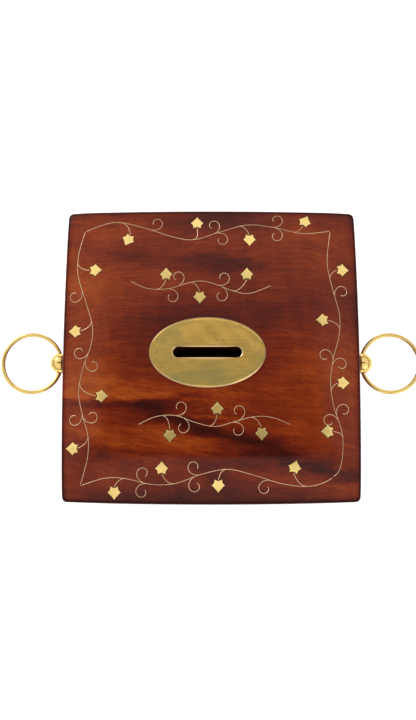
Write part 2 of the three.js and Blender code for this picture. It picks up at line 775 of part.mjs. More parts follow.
// The bolt at rest, drawn back: a block with a notch for the key below and a nose on the right.
function lockBolt() {
  const end = boltTail + boltLength;
  const back = lockMiddleY + boltThickness / 2;
  const body = block([boltTail, back - boltThickness, boltLow], [end, back, boltHigh]);
  const noseY = boltNoseThickness / 2;
  const noseLow = (boltLow + boltHigh - boltNoseHeight) / 2;
  const nose = block(
    [end - 1, lockMiddleY - noseY, noseLow],
    [end + boltNoseLength, lockMiddleY + noseY, noseLow + boltNoseHeight],
  );
  const notch = block(
    [-boltNotch / 2, back - boltThickness - 1, boltLow - 1],
    [boltNotch / 2, back + 1, boltLow + boltNotchDepth],
  );
  return piece('lock_bolt', body.add(nose).subtract(notch), steel());
}

// A bowed leaf spring between the bolt and the top of the case.
function lockSpring() {
  const room = boltTop - lockWall - 2 * boltClearance;
  const rise = room - springThickness;
  const radius = (springSpan ** 2 / 4 + rise ** 2) / (2 * rise);
  const sweep = Math.asin(springSpan / 2 / radius);
  const outline = new THREE.Shape();
  outline.absarc(0, 0, radius + springThickness, Math.PI / 2 - sweep, Math.PI / 2 + sweep, false);
  outline.absarc(0, 0, radius, Math.PI / 2 + sweep, Math.PI / 2 - sweep, true);
  const top = bodyHeight - lockWall - boltClearance;
  const middleX = boltTail + boltLength / 2 + boltNotchDepth;
  const low = lockMiddleY - springWidth / 2;
  const strap = prism('y', outline, low, low + springWidth);
  const place = [middleX, 0, top - radius - springThickness];
  return piece('lock_spring', strap.translate(place), steel());
}

const linkPlateOutline = (margin) =>
  stadium(linkPlateLength + 2 * margin, linkPlateWidth + 2 * margin);

// The plate let into the lid's underside, with the link that the bolt goes through.
function lockLinkPlate() {
  const plate = prism('z', linkPlateOutline(0), lidBottom, lidBottom + linkPlateThickness);
  const outline = polygon([
    [-linkWidth / 2, lidBottom + linkPlateThickness / 2],
    [-linkWidth / 2, lidBottom - linkDrop],
    [linkWidth / 2, lidBottom - linkDrop],
    [linkWidth / 2, lidBottom + linkPlateThickness / 2],
  ]);
  const eyeHigh = lidBottom - linkDrop + linkWall + boltHeight;
  const eye = polygon([
    [-linkWidth / 2 + linkSide, lidBottom - linkDrop + linkWall],
    [linkWidth / 2 - linkSide, lidBottom - linkDrop + linkWall],
    [linkWidth / 2 - linkSide, eyeHigh],
    [-linkWidth / 2 + linkSide, eyeHigh],
  ]);
  outline.holes.push(eye);
  const link = prism('x', outline, linkPlace - linkThickness / 2, linkPlace + linkThickness / 2);
  let body = plate.add(link);
  const screwHole = bar('z', linkScrewRadius, lidBottom - 1, lidBottom + linkPlateThickness + 1);
  for (const x of linkScrewPlaces) body = body.subtract(screwHole.translate([x, 0, 0]));
  return piece('lock_link_plate', body.translate([0, lockMiddleY, 0]), hingeBrass());
}

// An oval plate round the keyhole on the front wall, its outer edge bevelled.
function keyholePlate() {
  const outline = ellipse(keyPlateWidth / 2, keyPlateHeight / 2);
  const disc = bevelledPlate(outline, keyPlateThickness, keyPlateBevel);
  const upright = disc.rotate([90, 0, 0]).translate([0, 0, -keySlitLength / 2 + keyRadius / 2]);
  const keyhole = prism('y', keyholeOutline(0), -keyPlateThickness - 1, 1);
  const place = [0, -half, bodyHeight - keyHeight];
  return piece('keyhole_plate', upright.subtract(keyhole).translate(place), agedBrass());
}

// ---- The whole box ---------------------------------------------------------------------------

const box = new THREE.Group();
box.add(frontWall(), backWall(), sideWall('left_wall', -1), sideWall('right_wall', 1), basePanel());

const brasswork = inlay();
box.add(lidBoard(brasswork.pockets), slotPlate());
box.add(plateNail('slot_plate_nail_left', -1), plateNail('slot_plate_nail_right', 1));
box.add(...brasswork.pieces);

box.add(ringHandle(-1), ringHandle(1), hinge(-1), hinge(1));

const [leftScrew, rightScrew] = lockScrewPlaces();
box.add(lockCase(), lockBackPlate(), lockBolt(), lockSpring(), lockLinkPlate(), keyholePlate());
box.add(lockScrew('lock_screw_left', leftScrew), lockScrew('lock_screw_right', rightScrew));

export default box;
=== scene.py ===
import json
import math

import bmesh
import bpy
import mathutils
import numpy as np
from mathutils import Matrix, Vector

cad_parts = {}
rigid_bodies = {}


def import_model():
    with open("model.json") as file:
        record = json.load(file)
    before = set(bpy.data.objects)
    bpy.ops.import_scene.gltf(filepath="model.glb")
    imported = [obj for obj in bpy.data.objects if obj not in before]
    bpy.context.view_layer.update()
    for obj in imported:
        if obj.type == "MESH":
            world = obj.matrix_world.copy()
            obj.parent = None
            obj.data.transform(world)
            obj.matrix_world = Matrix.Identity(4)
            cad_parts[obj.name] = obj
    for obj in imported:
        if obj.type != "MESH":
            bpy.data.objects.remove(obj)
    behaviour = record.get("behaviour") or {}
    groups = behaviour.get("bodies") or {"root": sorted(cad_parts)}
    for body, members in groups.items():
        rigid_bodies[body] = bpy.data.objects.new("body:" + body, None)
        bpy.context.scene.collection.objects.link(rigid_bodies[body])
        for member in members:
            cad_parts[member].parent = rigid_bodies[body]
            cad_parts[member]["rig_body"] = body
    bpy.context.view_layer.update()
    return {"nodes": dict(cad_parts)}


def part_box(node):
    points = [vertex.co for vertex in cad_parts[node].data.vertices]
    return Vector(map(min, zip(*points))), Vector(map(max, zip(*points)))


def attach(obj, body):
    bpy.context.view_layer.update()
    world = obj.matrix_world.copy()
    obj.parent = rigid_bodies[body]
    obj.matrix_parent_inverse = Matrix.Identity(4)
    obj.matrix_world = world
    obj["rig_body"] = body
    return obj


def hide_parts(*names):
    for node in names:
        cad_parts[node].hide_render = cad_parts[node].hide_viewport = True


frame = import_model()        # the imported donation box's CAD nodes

mm = 0.001
sharpAngle = math.radians(38)        # edges that turn further than this stay crisp
dice = np.random.default_rng(11)     # turns the screws' slots
print("frame loaded,", len(frame["nodes"]), "nodes")

lidLow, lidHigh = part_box("lid_board")
wallLow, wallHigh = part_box("right_wall")


# Faces of a grid of points: each cell joins row i to row i + 1 and column j to column j + 1. The
# columns run round into the first one, and the rows do too when the grid is ringed.
def gridFaces(rows, columns, ringed):
    i, j = np.meshgrid(np.arange(rows if ringed else rows - 1), np.arange(columns), indexing="ij")
    below, beside = (i + 1) % rows, (j + 1) % columns
    cells = [i * columns + j, below * columns + j, below * columns + beside, i * columns + beside]
    return np.stack(cells, -1).reshape(-1, 4)


# A grid of points as a closed shell. A grid that isn't ringed ends in a pole at each end, at the mean
# of its end row. The faces are turned round if the sum of a . (b x c) over them is negative.
def shell(points, ringed=False):
    rows, columns = points.shape[:2]
    if ringed:
        vertices = points.reshape(-1, 3)
        quads = gridFaces(rows, columns, True)
        fans = np.zeros((0, 3), int)
    else:
        poles = [points[0].mean(0), points[-1].mean(0)]
        vertices = np.vstack([points[1:-1].reshape(-1, 3), poles])
        quads = gridFaces(rows - 2, columns, False)
        side = np.arange(columns)
        beside = (side + 1) % columns
        last = (rows - 3) * columns
        first = np.full(columns, len(vertices) - 2)
        fans = np.vstack([
            np.stack([side, beside, first], -1),
            np.stack([last + beside, last + side, first + 1], -1),
        ])
    triangles = np.vstack([quads[:, :3], quads[:, [0, 2, 3]], fans])
    a, b, c = (vertices[triangles[:, k]] for k in range(3))
    if np.sum(a * np.cross(b, c)) < 0:
        quads, fans = quads[:, ::-1], fans[:, ::-1]
    return vertices, quads, fans


# Shells as one mesh object that rides on a body. Marks are numbers for each vertex that its material
# reads as an attribute.
def makePiece(name, shells, material, body, stands=(), marks=None):
    starts = np.cumsum([0] + [len(vertices) for vertices, _, _ in shells])
    vertices = np.vstack([each[0] for each in shells])
    quads = np.vstack([each[1] + start for each, start in zip(shells, starts)])
    fans = np.vstack([each[2] + start for each, start in zip(shells, starts)])
    mesh = bpy.data.meshes.new(name)
    mesh.from_pydata(vertices.tolist(), [], quads.tolist() + fans.tolist())
    for word, values in (marks or {}).items():
        mark = mesh.attributes.new(word, "FLOAT", "POINT")
        mark.data.foreach_set("value", np.asarray(values, np.float32).ravel())
    return finishPiece(name, mesh, material, body, stands)


# A mesh as an object: shaded smooth between its crisp edges, with its material, its body and the CAD
# nodes that it stands for.
def finishPiece(name, mesh, material, body, stands):
    mesh.polygons.foreach_set("use_smooth", np.ones(len(mesh.polygons), bool))
    mesh.set_sharp_from_angle(angle=sharpAngle)
    mesh.materials.clear()
    mesh.materials.append(material)
    made = bpy.data.objects.new(name, mesh)
    bpy.context.scene.collection.objects.link(made)
    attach(made, body)
    if stands:
        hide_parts(*stands)
    return made


# A quadratic curve: (1 - t)^2 * start + 2 t (1 - t) * pull + t^2 * end.
def quadratic(start, pull, end, t):
    return (1 - t) ** 2 * start + 2 * t * (1 - t) * pull + t ** 2 * end


# Corners rounded off: near each corner the line follows a quadratic curve that starts and ends
# its radius away from the corner. A radius of 0 leaves the corner as it is.
def softened(corners, radii, closed=False):
    corners = np.array(corners, float)
    radii = np.broadcast_to(np.array(radii, float), len(corners))[:, None]
    before, after = np.roll(corners, 1, 0), np.roll(corners, -1, 0)
    if not closed:
        before[0], after[-1] = corners[0], corners[-1]

    def reach(other):
        away = other - corners
        return corners + radii * away / np.maximum(np.linalg.norm(away, axis=1, keepdims=True), 1e-12)

    t = np.linspace(0, 1, 5)[None, :, None]
    curve = quadratic(reach(before)[:, None], corners[:, None], reach(after)[:, None], t)
    line = curve.reshape(-1, corners.shape[1])
    moved = np.linalg.norm(np.diff(line, axis=0), axis=1) > 1e-8
    return line[np.r_[True, moved]]


# The points of a line at the given shares of its length.
def along(line, shares):
    gone = np.r_[0, np.cumsum(np.linalg.norm(np.diff(line, axis=0), axis=1))]
    return np.stack([np.interp(shares * gone[-1], gone, line[:, k]) for k in range(line.shape[1])], -1)


# The middle of a box, from its lowest and highest corners.
def middleOf(low, high):
    return [(a + b) / 2 for a, b in zip(low, high)]


# Evenly spaced angles round a full turn.
def roundTurn(count):
    return np.linspace(0, 2 * math.pi, count, endpoint=False)


# Points on a circle, or on an ellipse where the radius is a pair, at the given angles.
def circlePoints(radius, angle):
    return np.array(radius) * np.stack([np.cos(angle), np.sin(angle)], -1)


# The matrix that turns rows of flat points by an angle.
def turnMatrix(angle):
    return np.array([[math.cos(angle), math.sin(angle)], [-math.sin(angle), math.cos(angle)]])


# Flat points with their height as a third number.
def raised(flat, height):
    return np.concatenate([flat, np.broadcast_to(height, flat.shape[:-1] + (1,))], -1)


axes = {"x": np.roll(np.eye(3), 0, 0), "y": np.roll(np.eye(3), -1, 0), "z": np.roll(np.eye(3), -2, 0)}


# A profile turned about an axis: centre + along * axis + radius * (cos a * u + sin a * v), where the
# profile gives along and radius, way is the direction it runs in, and a thread climbs a pitch a turn.
def turned(profile, axis, centre, columns=48, ringed=False, way=1, thread=None):
    profile = np.array(profile, float)
    main, u, v = axes[axis]
    angle = roundTurn(columns)
    place, radius = profile[:, :1], np.repeat(profile[:, 1:], columns, 1)
    if thread:
        wave = np.abs(2 * np.mod(place / thread["pitch"] + angle / (2 * math.pi), 1) - 1)
        on = (place > thread["low"]) & (place < thread["high"])
        radius = radius - np.where(on, thread["depth"] * wave, 0)
    around = np.cos(angle)[:, None] * u + np.sin(angle)[:, None] * v
    points = np.array(centre) + way * place[..., None] * main + radius[..., None] * around
    return shell(points, ringed)


# A closed outline carried through levels: level (inset share, height) is the outline drawn in towards
# its middle by that share, at that height along the third direction.
def stacked(outline, levels, centre=(0, 0, 0), basis=np.eye(3)):
    middle = outline.mean(0)
    levels = np.array(levels, float)
    flat = middle + (outline - middle) * (1 - levels[:, :1, None])
    local = raised(flat, levels[:, 1:, None])
    local = np.concatenate([local[:1], local, local[-1:]])
    return shell(np.array(centre) + local @ basis)


# A rectangular outline with rounded corners, as a loop of points.
def rectangle(x0, y0, x1, y1, radius):
    return softened([(x0, y0), (x1, y0), (x1, y1), (x0, y1)], radius, closed=True)


# A round-ended slot as a closed line that starts at its +X end: two half circles joined by straights.
def slotLine(length, width, steps=24):
    turn = np.linspace(-math.pi / 2, math.pi / 2, 2 * steps + 1)
    end = circlePoints(width / 2, turn) + ((length - width) / 2, 0)
    return np.vstack([end[steps:], -end, end[:steps + 1]])


# A band between two closed lines: share 0 is the inner line and share 1 the outer one, and the closed
# profile gives share and height.
def band(inner, outer, profile):
    share, height = profile[:, :1, None], profile[:, 1:, None]
    return raised(inner * (1 - share) + outer * share, height)


# A CAD board or casting with its arrises eased: a merged copy of the node, with a bevel on its edges. Its
# top is raised by the lift, which narrows the gap that the solids keep.
def easedCopy(node, name, material, width, lift=0):
    source = frame["nodes"][node]
    places = np.zeros(len(source.data.vertices) * 3)
    source.data.vertices.foreach_get("co", places)
    corners = np.zeros(len(source.data.loops), int)
    source.data.loops.foreach_get("vertex_index", corners)
    mesh = bpy.data.meshes.new(name)
    places = places.reshape(-1, 3)
    places[places[:, 2] > places[:, 2].max() - 0.05 * mm, 2] += lift
    mesh.from_pydata(places.tolist(), [], corners.reshape(-1, 3).tolist())
    work = bmesh.new()
    work.from_mesh(mesh)
    bmesh.ops.remove_doubles(work, verts=work.verts, dist=0.001 * mm)
    flatAngle = math.radians(0.5)
    bmesh.ops.dissolve_limit(work, angle_limit=flatAngle, verts=work.verts, edges=work.edges)
    work.to_mesh(mesh)
    work.free()
    made = finishPiece(name, mesh, material, source["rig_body"], (node,))
    bevel = made.modifiers.new("eased", "BEVEL")
    bevel.width = width
    bevel.segments = 3
    bevel.limit_method = "ANGLE"
    bevel.angle_limit = sharpAngle
    bevel.harden_normals = True
    return made


# Adds a node, sets its properties, and fills its inputs from sockets or plain values.
def addNode(tree, kind, inputs=None, **settings):
    made = tree.nodes.new(kind)
    for word, value in settings.items():
        setattr(made, word, value)
    for socket, value in (inputs or {}).items():
        if isinstance(value, bpy.types.NodeSocket):
            tree.links.new(value, made.inputs[socket])
        else:
            made.inputs[socket].default_value = value
    return made


# One number worked out from sockets or plain numbers.
def calc(tree, operation, *values):
    return addNode(tree, "ShaderNodeMath", dict(enumerate(values)), operation=operation).outputs[0]


# The same for vectors. A distance or a length comes out as a number.
def vectorCalc(tree, operation, *values):
    made = addNode(tree, "ShaderNodeVectorMath", dict(enumerate(values)), operation=operation)
    return made.outputs["Value" if operation in ("LENGTH", "DISTANCE") else "Vector"]


# Soft noise at a scale: bumps to the metre, with finer bumps laid over them.
def noise(tree, vector, scale, detail=2.0, roughness=0.5, output="Fac"):
    inputs = {"Vector": vector, "Scale": scale, "Detail": detail, "Roughness": roughness}
    return addNode(tree, "ShaderNodeTexNoise", inputs).outputs[output]


# A vector scaled and then turned, so that a pattern on it runs long where the scale is small.
def stretched(tree, vector, scale, turn=(0, 0, 0)):
    inputs = {"Vector": vector, "Scale": scale, "Rotation": turn}
    return addNode(tree, "ShaderNodeMapping", inputs).outputs[0]


# A value moved from one range to another, smoothly and held at its ends.
def eased(tree, value, low, high, start=0.0, end=1.0):
    inputs = {"Value": value, "From Min": low, "From Max": high, "To Min": start, "To Max": end}
    return addNode(tree, "ShaderNodeMapRange", inputs, interpolation_type="SMOOTHSTEP").outputs[0]


# Two colours mixed by a share. A colour is a socket or three numbers.
def blended(tree, share, first, second, mode="MIX"):
    sockets = [each if isinstance(each, bpy.types.NodeSocket) else (*each, 1) for each in (first, second)]
    inputs = {0: share, 6: sockets[0], 7: sockets[1]}
    return addNode(tree, "ShaderNodeMix", inputs, data_type="RGBA", blend_type=mode).outputs[2]


# A colour read from a value, between stops of (place, colour).
def colourRamp(tree, value, stops):
    made = addNode(tree, "ShaderNodeValToRGB", {"Fac": value})
    ramp = made.color_ramp
    for _ in stops[2:]:
        ramp.elements.new(0.5)
    for element, (place, colour) in zip(ramp.elements, stops):
        element.position = place
        element.color = (*colour, 1)
    return made.outputs[0]


# A shader node group with named sockets, and its input and output nodes.
def newGroup(name, takes, gives):
    tree = bpy.data.node_groups.new(name, "ShaderNodeTree")
    kinds = {"vector": "NodeSocketVector", "colour": "NodeSocketColor", "number": "NodeSocketFloat"}
    for word, kind in takes.items():
        tree.interface.new_socket(name=word, in_out="INPUT", socket_type=kinds[kind])
    for word, kind in gives.items():
        tree.interface.new_socket(name=word, in_out="OUTPUT", socket_type=kinds[kind])
    return tree, tree.nodes.new("NodeGroupInput"), tree.nodes.new("NodeGroupOutput")


# A node group placed in a tree with its own values.
def useGroup(tree, group, inputs):
    return addNode(tree, "ShaderNodeGroup", inputs, node_tree=group)


# Joins sockets to a node's inputs by name.
def feed(tree, node, values):
    for word, value in values.items():
        tree.links.new(value, node.inputs[word])


# The three numbers of a vector.
def separated(tree, vector):
    return list(addNode(tree, "ShaderNodeSeparateXYZ", {0: vector}).outputs)


# The rim mark of a piece: 1 on its edges, 0 away from them.
def rimMark(tree):
    return addNode(tree, "ShaderNodeAttribute", attribute_name="rim").outputs["Fac"]


# A material with its Principled shader, and the piece's own place as a vector.
def newMaterial(name, **values):
    material = bpy.data.materials.new(name)
    material.use_nodes = True
    tree = material.node_tree
    shader = tree.nodes["Principled BSDF"]
    for word, value in values.items():
        shader.inputs[word.replace("_", " ")].default_value = value
    place = tree.nodes.new("ShaderNodeTexCoord").outputs["Object"]
    return material, tree, shader, place


# Relief from a height that varies over the surface.
def bump(tree, shader, height, strength, distance):
    inputs = {"Height": height, "Strength": strength, "Distance": distance}
    feed(tree, shader, {"Normal": addNode(tree, "ShaderNodeBump", inputs).outputs[0]})


rosewood = {
    "clouds": 1.25, "layers": 0.7, "rings": 0.35, "streaks": 0.42, "fibres": 0.42, "shimmer": 0.2,
    "pith": (0, 0.03, -0.16), "drift": (0, 0.022, 0.022), "sweepFrom": 0.045, "sweepTo": -0.055,
    "pores": 0.75, "poreColour": (0.02, 0.003, 0.002),
    "stops": [
        (0.0, (0.030, 0.0035, 0.0020)), (0.28, (0.078, 0.0068, 0.0024)), (0.5, (0.145, 0.0150, 0.0028)),
        (0.72, (0.225, 0.0315, 0.0035)), (1.0, (0.330, 0.0640, 0.0080)),
    ],
}


# Rosewood with its grain along X. The grain is moved along Y by sweep * x, which fades in along Y, and
# by a slow drift. The tone adds broad clouds, layers, growth rings about a far pith, fine streaks, fibres
# and cross shimmer, each noise times its share; the colour is read from the tone, and pores darken it.
def makeRosewood():
    takes = {"Vector": "vector", "Tone": "number", "Sweep": "number"}
    gives = {"Color": "colour", "Roughness": "number", "Height": "number"}
    tree, inside, out = newGroup("rosewoodGrain", takes, gives)
    x, y, z = separated(tree, inside.outputs["Vector"])
    lean = eased(tree, y, rosewood["sweepFrom"], rosewood["sweepTo"], 0.01, 1)
    lean = calc(tree, "MULTIPLY", calc(tree, "MULTIPLY", lean, inside.outputs["Sweep"]), x)
    swept = calc(tree, "ADD", y, lean)
    place = addNode(tree, "ShaderNodeCombineXYZ", {0: x, 1: swept, 2: z}).outputs[0]
    drift = vectorCalc(tree, "SUBTRACT", noise(tree, place, 13, 2, output="Color"), (0.5, 0.5, 0.5))
    wavy = vectorCalc(tree, "ADD", place, vectorCalc(tree, "MULTIPLY", drift, rosewood["drift"]))
    layers = noise(tree, stretched(tree, wavy, (0.1, 1, 1)), 62, 5, 0.62)
    across = vectorCalc(tree, "MULTIPLY", wavy, (0, 1, 1))
    fromPith = vectorCalc(tree, "DISTANCE", across, rosewood["pith"])
    ringPlace = calc(tree, "MULTIPLY_ADD", layers, 0.012, fromPith)
    rings = addNode(tree, "ShaderNodeTexNoise", {"W": ringPlace, "Scale": 210, "Detail": 3},
                    noise_dimensions="1D").outputs["Fac"]
    streaks = noise(tree, stretched(tree, wavy, (0.035, 1, 1)), 520, 4, 0.65)
    fibres = noise(tree, stretched(tree, place, (0.05, 1, 1)), 2300, 2, 0.6)
    shimmer = noise(tree, stretched(tree, wavy, (1, 0.25, 0.25)), 190, 2)
    clouds = noise(tree, stretched(tree, wavy, (0.5, 1, 1)), 24, 3, 0.55)
    parts = {"clouds": clouds, "layers": layers, "rings": rings, "streaks": streaks, "fibres": fibres,
             "shimmer": shimmer}
    middle = 0.5 - 0.5 * sum(rosewood[word] for word in parts)     # keeps the mean tone at a half
    tone = calc(tree, "ADD", inside.outputs["Tone"], middle)
    for word, value in parts.items():
        tone = calc(tree, "MULTIPLY_ADD", value, rosewood[word], tone)
    colour = colourRamp(tree, tone, rosewood["stops"])
    pores = eased(tree, noise(tree, stretched(tree, place, (0.07, 1, 1)), 4200, 1), 0.62, 0.7)
    colour = blended(tree, calc(tree, "MULTIPLY", pores, rosewood["pores"]), colour, rosewood["poreColour"])
    rough = calc(tree, "MULTIPLY_ADD", pores, 0.2, 0.36)
    rough = calc(tree, "MULTIPLY_ADD", shimmer, 0.12, rough)
    height = calc(tree, "SUBTRACT", calc(tree, "MULTIPLY", fibres, 0.35), pores)
    feed(tree, out, {"Color": colour, "Roughness": rough, "Height": height})
    return tree


# One long streak along X, used for grain figure and for painted light and shade: exp(-(d / width)^2),
# where d is the ragged distance from the curve y = height + slope * x + bend * x^2, faded in and out
# between two places along X.
def makeStreak():
    words = ("Height", "Slope", "Bend", "Width", "From", "To")
    takes = {"Vector": "vector", **dict.fromkeys(words, "number")}
    tree, inside, out = newGroup("figureAndPaintedLightStreak", takes, {"Mask": "number"})
    get = inside.outputs
    x, y, _ = separated(tree, get["Vector"])
    slope = calc(tree, "MULTIPLY_ADD", get["Bend"], x, get["Slope"])
    curve = calc(tree, "MULTIPLY_ADD", slope, x, get["Height"])
    ragged = noise(tree, stretched(tree, get["Vector"], (0.22, 1, 1)), 120, 5, 0.65)
    ragged = calc(tree, "MULTIPLY", calc(tree, "SUBTRACT", ragged, 0.5), 0.022)
    away = calc(tree, "ADD", calc(tree, "SUBTRACT", y, curve), ragged)
    away = calc(tree, "DIVIDE", away, get["Width"])
    mask = calc(tree, "EXPONENT", calc(tree, "MULTIPLY", calc(tree, "MULTIPLY", away, away), -1.0))
    fade = 0.018
    starts = eased(tree, calc(tree, "SUBTRACT", x, get["From"]), -fade, fade)
    ends = eased(tree, calc(tree, "SUBTRACT", get["To"], x), -fade, fade)
    feed(tree, out, {"Mask": calc(tree, "MULTIPLY", calc(tree, "MULTIPLY", starts, ends), mask)})
    return tree


# The skin of worked brass: tarnish in broad patches and fine ones, brushing along X that lightens and
# darkens it, a few hairline scratches and dark specks.
def makeBrassSkin():
    takes = {"Vector": "vector", "Metal": "colour", "Tarnish": "colour", "Amount": "number",
             "Brushing": "number", "Polish": "number"}
    gives = {"Color": "colour", "Roughness": "number", "Height": "number"}
    tree, inside, out = newGroup("brassSkin", takes, gives)
    get = inside.outputs
    place = get["Vector"]
    patches = calc(tree, "MULTIPLY", noise(tree, stretched(tree, place, (0.7, 1, 1)), 48, 4, 0.55), 1.5)
    fine = noise(tree, stretched(tree, place, (0.2, 1, 1)), 420, 3, 0.6)
    clouds = calc(tree, "MULTIPLY_ADD", fine, 0.5, patches)
    tarnish = calc(tree, "MULTIPLY", eased(tree, clouds, 0.8, 1.25), get["Amount"])
    lines = noise(tree, stretched(tree, place, (0.04, 1, 1)), 2600, 3, 0.65)
    lines = calc(tree, "MULTIPLY", calc(tree, "SUBTRACT", lines, 0.5), get["Brushing"])
    crossed = stretched(tree, place, (0.03, 1, 1), (0.2, 0.1, 0.9))
    scratches = eased(tree, noise(tree, crossed, 1500, 1), 0.68, 0.74)
    specks = calc(tree, "MULTIPLY", eased(tree, noise(tree, place, 1300, 2), 0.66, 0.72), get["Amount"])
    colour = blended(tree, tarnish, get["Metal"], get["Tarnish"])
    colour = blended(tree, calc(tree, "MULTIPLY_ADD", lines, 0.9, 0.5), colour, (0.5, 0.5, 0.5), "OVERLAY")
    colour = blended(tree, calc(tree, "MULTIPLY", specks, 0.6), colour, (0.05, 0.035, 0.015))
    rough = calc(tree, "MULTIPLY_ADD", tarnish, 0.2, get["Polish"])
    rough = calc(tree, "MULTIPLY_ADD", lines, 0.25, rough)
    height = calc(tree, "SUBTRACT", lines, calc(tree, "MULTIPLY", scratches, 0.3))
    feed(tree, out, {"Color": colour, "Roughness": rough, "Height": height})
    return tree


rosewoodGrain = makeRosewood()
figureAndPaintedLightStreak = makeStreak()
brassSkin = makeBrassSkin()


lacquer = {
    "gloss": 0.02, "coat": 0.48, "coatRoughness": 0.13, "coatIndex": 1.4, "rimPaintedShade": -0.55, "rimCoat": 0.1,
    "bareColour": (0.24, 0.105, 0.042), "bareShare": 0.45, "bareRoughness": 0.3, "bareCoat": 0.1,
    "insideDepth": 0.4 * mm,
}


# Lacquered rosewood. Turn brings the board's grain onto X, and offset picks its part of the log.
# Streaks are (height, slope, bend, width, from, to, tone), in millimetres apart from slope and tone, and
# a bend is for each millimetre. The rim of a piece is darker, a painted shade of its rounded edge, and
# the inside of the box is left bare.
def lacqueredWood(name, turn=0.0, offset=(0, 0, 0), streaks=(), sweep=0.0, rim=False, bareInside=False):
    material, tree, shader, place = newMaterial(
        name, Specular_IOR_Level=lacquer["gloss"], Coat_Weight=lacquer["coat"],
        Coat_Roughness=lacquer["coatRoughness"], Coat_IOR=lacquer["coatIndex"])
    tone = 0.0
    for height, slope, bend, width, start, end, strength in streaks:
        inputs = {"Vector": place, "Height": height * mm, "Slope": slope, "Bend": bend / mm,
                  "Width": width * mm, "From": start * mm, "To": end * mm}
        mask = useGroup(tree, figureAndPaintedLightStreak, inputs).outputs["Mask"]
        tone = calc(tree, "MULTIPLY_ADD", mask, strength, tone)
    if rim:
        # Painted shade: the rim mark darkens the tone of the rounded edge.
        edge = rimMark(tree)
        tone = calc(tree, "MULTIPLY_ADD", edge, lacquer["rimPaintedShade"], tone)
        coat = calc(tree, "MULTIPLY_ADD", edge, lacquer["rimCoat"] - lacquer["coat"], lacquer["coat"])
        feed(tree, shader, {"Coat Weight": coat})
    turnedPlace = addNode(tree, "ShaderNodeMapping",
                          {"Vector": place, "Rotation": (0, 0, turn), "Location": offset}).outputs[0]
    grain = useGroup(tree, rosewoodGrain, {"Vector": turnedPlace, "Tone": tone, "Sweep": sweep})
    colour, rough = grain.outputs["Color"], grain.outputs["Roughness"]
    if bareInside:
        x, y, _ = separated(tree, vectorCalc(tree, "ABSOLUTE", place))
        inside = calc(tree, "LESS_THAN", calc(tree, "MAXIMUM", x, y), wallLow.x + lacquer["insideDepth"])
        share = calc(tree, "MULTIPLY", inside, lacquer["bareShare"])
        colour = blended(tree, share, colour, lacquer["bareColour"])
        rough = calc(tree, "MULTIPLY_ADD", inside, lacquer["bareRoughness"], rough)
        feed(tree, shader, {"Coat Weight": calc(tree, "MULTIPLY_ADD", inside, lacquer["bareCoat"] - 1, 1.0)})
    feed(tree, shader, {"Base Color": colour, "Roughness": rough})
    bump(tree, shader, grain.outputs["Height"], 0.25, 0.08 * mm)
    return material


# Brass of one finish, from the shared skin. A rim colour makes the piece's edges cleaner, with less
# tarnish, and paints a highlight on them in a paler colour.
def brass(name, metal, tarnish, amount, brushing, polish, relief=0.15, rim=None):
    material, tree, shader, place = newMaterial(name, Metallic=1.0)
    if rim:
        edge = rimMark(tree)
        amount = calc(tree, "MULTIPLY_ADD", edge, -0.8 * amount, amount)
    inputs = {"Vector": place, "Metal": (*metal, 1), "Tarnish": (*tarnish, 1), "Amount": amount,
              "Brushing": brushing, "Polish": polish}
    skin = useGroup(tree, brassSkin, inputs)
    # Painted highlight: the pale rim colour is blended onto the edges.
    colour = blended(tree, edge, skin.outputs["Color"], rim) if rim else skin.outputs["Color"]
    feed(tree, shader, {"Base Color": colour, "Roughness": skin.outputs["Roughness"]})
    bump(tree, shader, skin.outputs["Height"], relief, 0.03 * mm)
    return material


# A dark band in the hairline between brass and wood: painted shade of the thin gap round the inlay.
def makeSeamShade():
    material, tree, shader, place = newMaterial("seamShade", Specular_IOR_Level=0.15)
    mottle = noise(tree, place, 900, 3)
    colour = colourRamp(tree, mottle, [(0.3, (0.018, 0.004, 0.002)), (0.7, (0.05, 0.014, 0.006))])
    feed(tree, shader, {"Base Color": colour, "Roughness": eased(tree, mottle, 0.3, 0.7, 0.55, 0.75)})
    bump(tree, shader, mottle, 0.3, 0.05 * mm)
    return material


# Pale painted studio floor with a faint cloudiness. It glows a little, so that it stays pale all over.
def makePaleFloor():
    material, tree, shader, place = newMaterial("paleFloor", Specular_IOR_Level=0.1, Emission_Strength=0.5)
    clouds = noise(tree, place, 3, 3)
    colour = colourRamp(tree, clouds, [(0.3, (0.90, 0.90, 0.90)), (0.7, (0.93, 0.93, 0.93))])
    feed(tree, shader, {"Base Color": colour, "Roughness": eased(tree, clouds, 0.3, 0.7, 0.7, 0.8)})
    shader.inputs["Emission Color"].default_value = (1, 1, 1, 1)
    return material


# Most of these streaks are grain figure. The two broad light bands over the left border, which end near x =
# -50, are a painted highlight of its slope. The dark bands at y = 72 and -72 are painted shade along the top
# and bottom edges.
lidFigureAndBorderLight = (
    (-30, -0.10, -0.0006, 2.6, -76, -10, -0.30),
    (-41, -0.30, 0.0, 4.0, -34, 90, -0.40),
    (-22, -0.06, -0.0005, 5.0, -90, 14, 0.42),
    (-49, -0.12, 0.0, 5.0, -76, 2, 0.36),
    (-33, -0.1, 0.0, 3.0, -24, 16, 0.34),
    (-62, -0.12, 0.0, 4.0, 10, 90, 0.2),
    (20, 0.0, 0.0, 9.0, -40, 60, -0.14),
    (48, -0.06, 0.0, 4.0, -66, 20, -0.16),
    (14, 0.02, 0.0, 8.0, 26, 90, -0.10),
    (34, 0.0, 0.0, 30.0, -110, -50, 0.28),
    (-8, 0.0, 0.0, 26.0, -110, -44, 0.22),
    (52, 0.04, 0.0, 14.0, 24, 110, 0.18),
    (-6, -0.05, 0.0, 9.0, 40, 110, 0.14),
    (72, 0.0, 0.0, 5.0, -90, 90, -0.14),
    (-72, 0.0, 0.0, 5.0, -90, 90, -0.12),
)
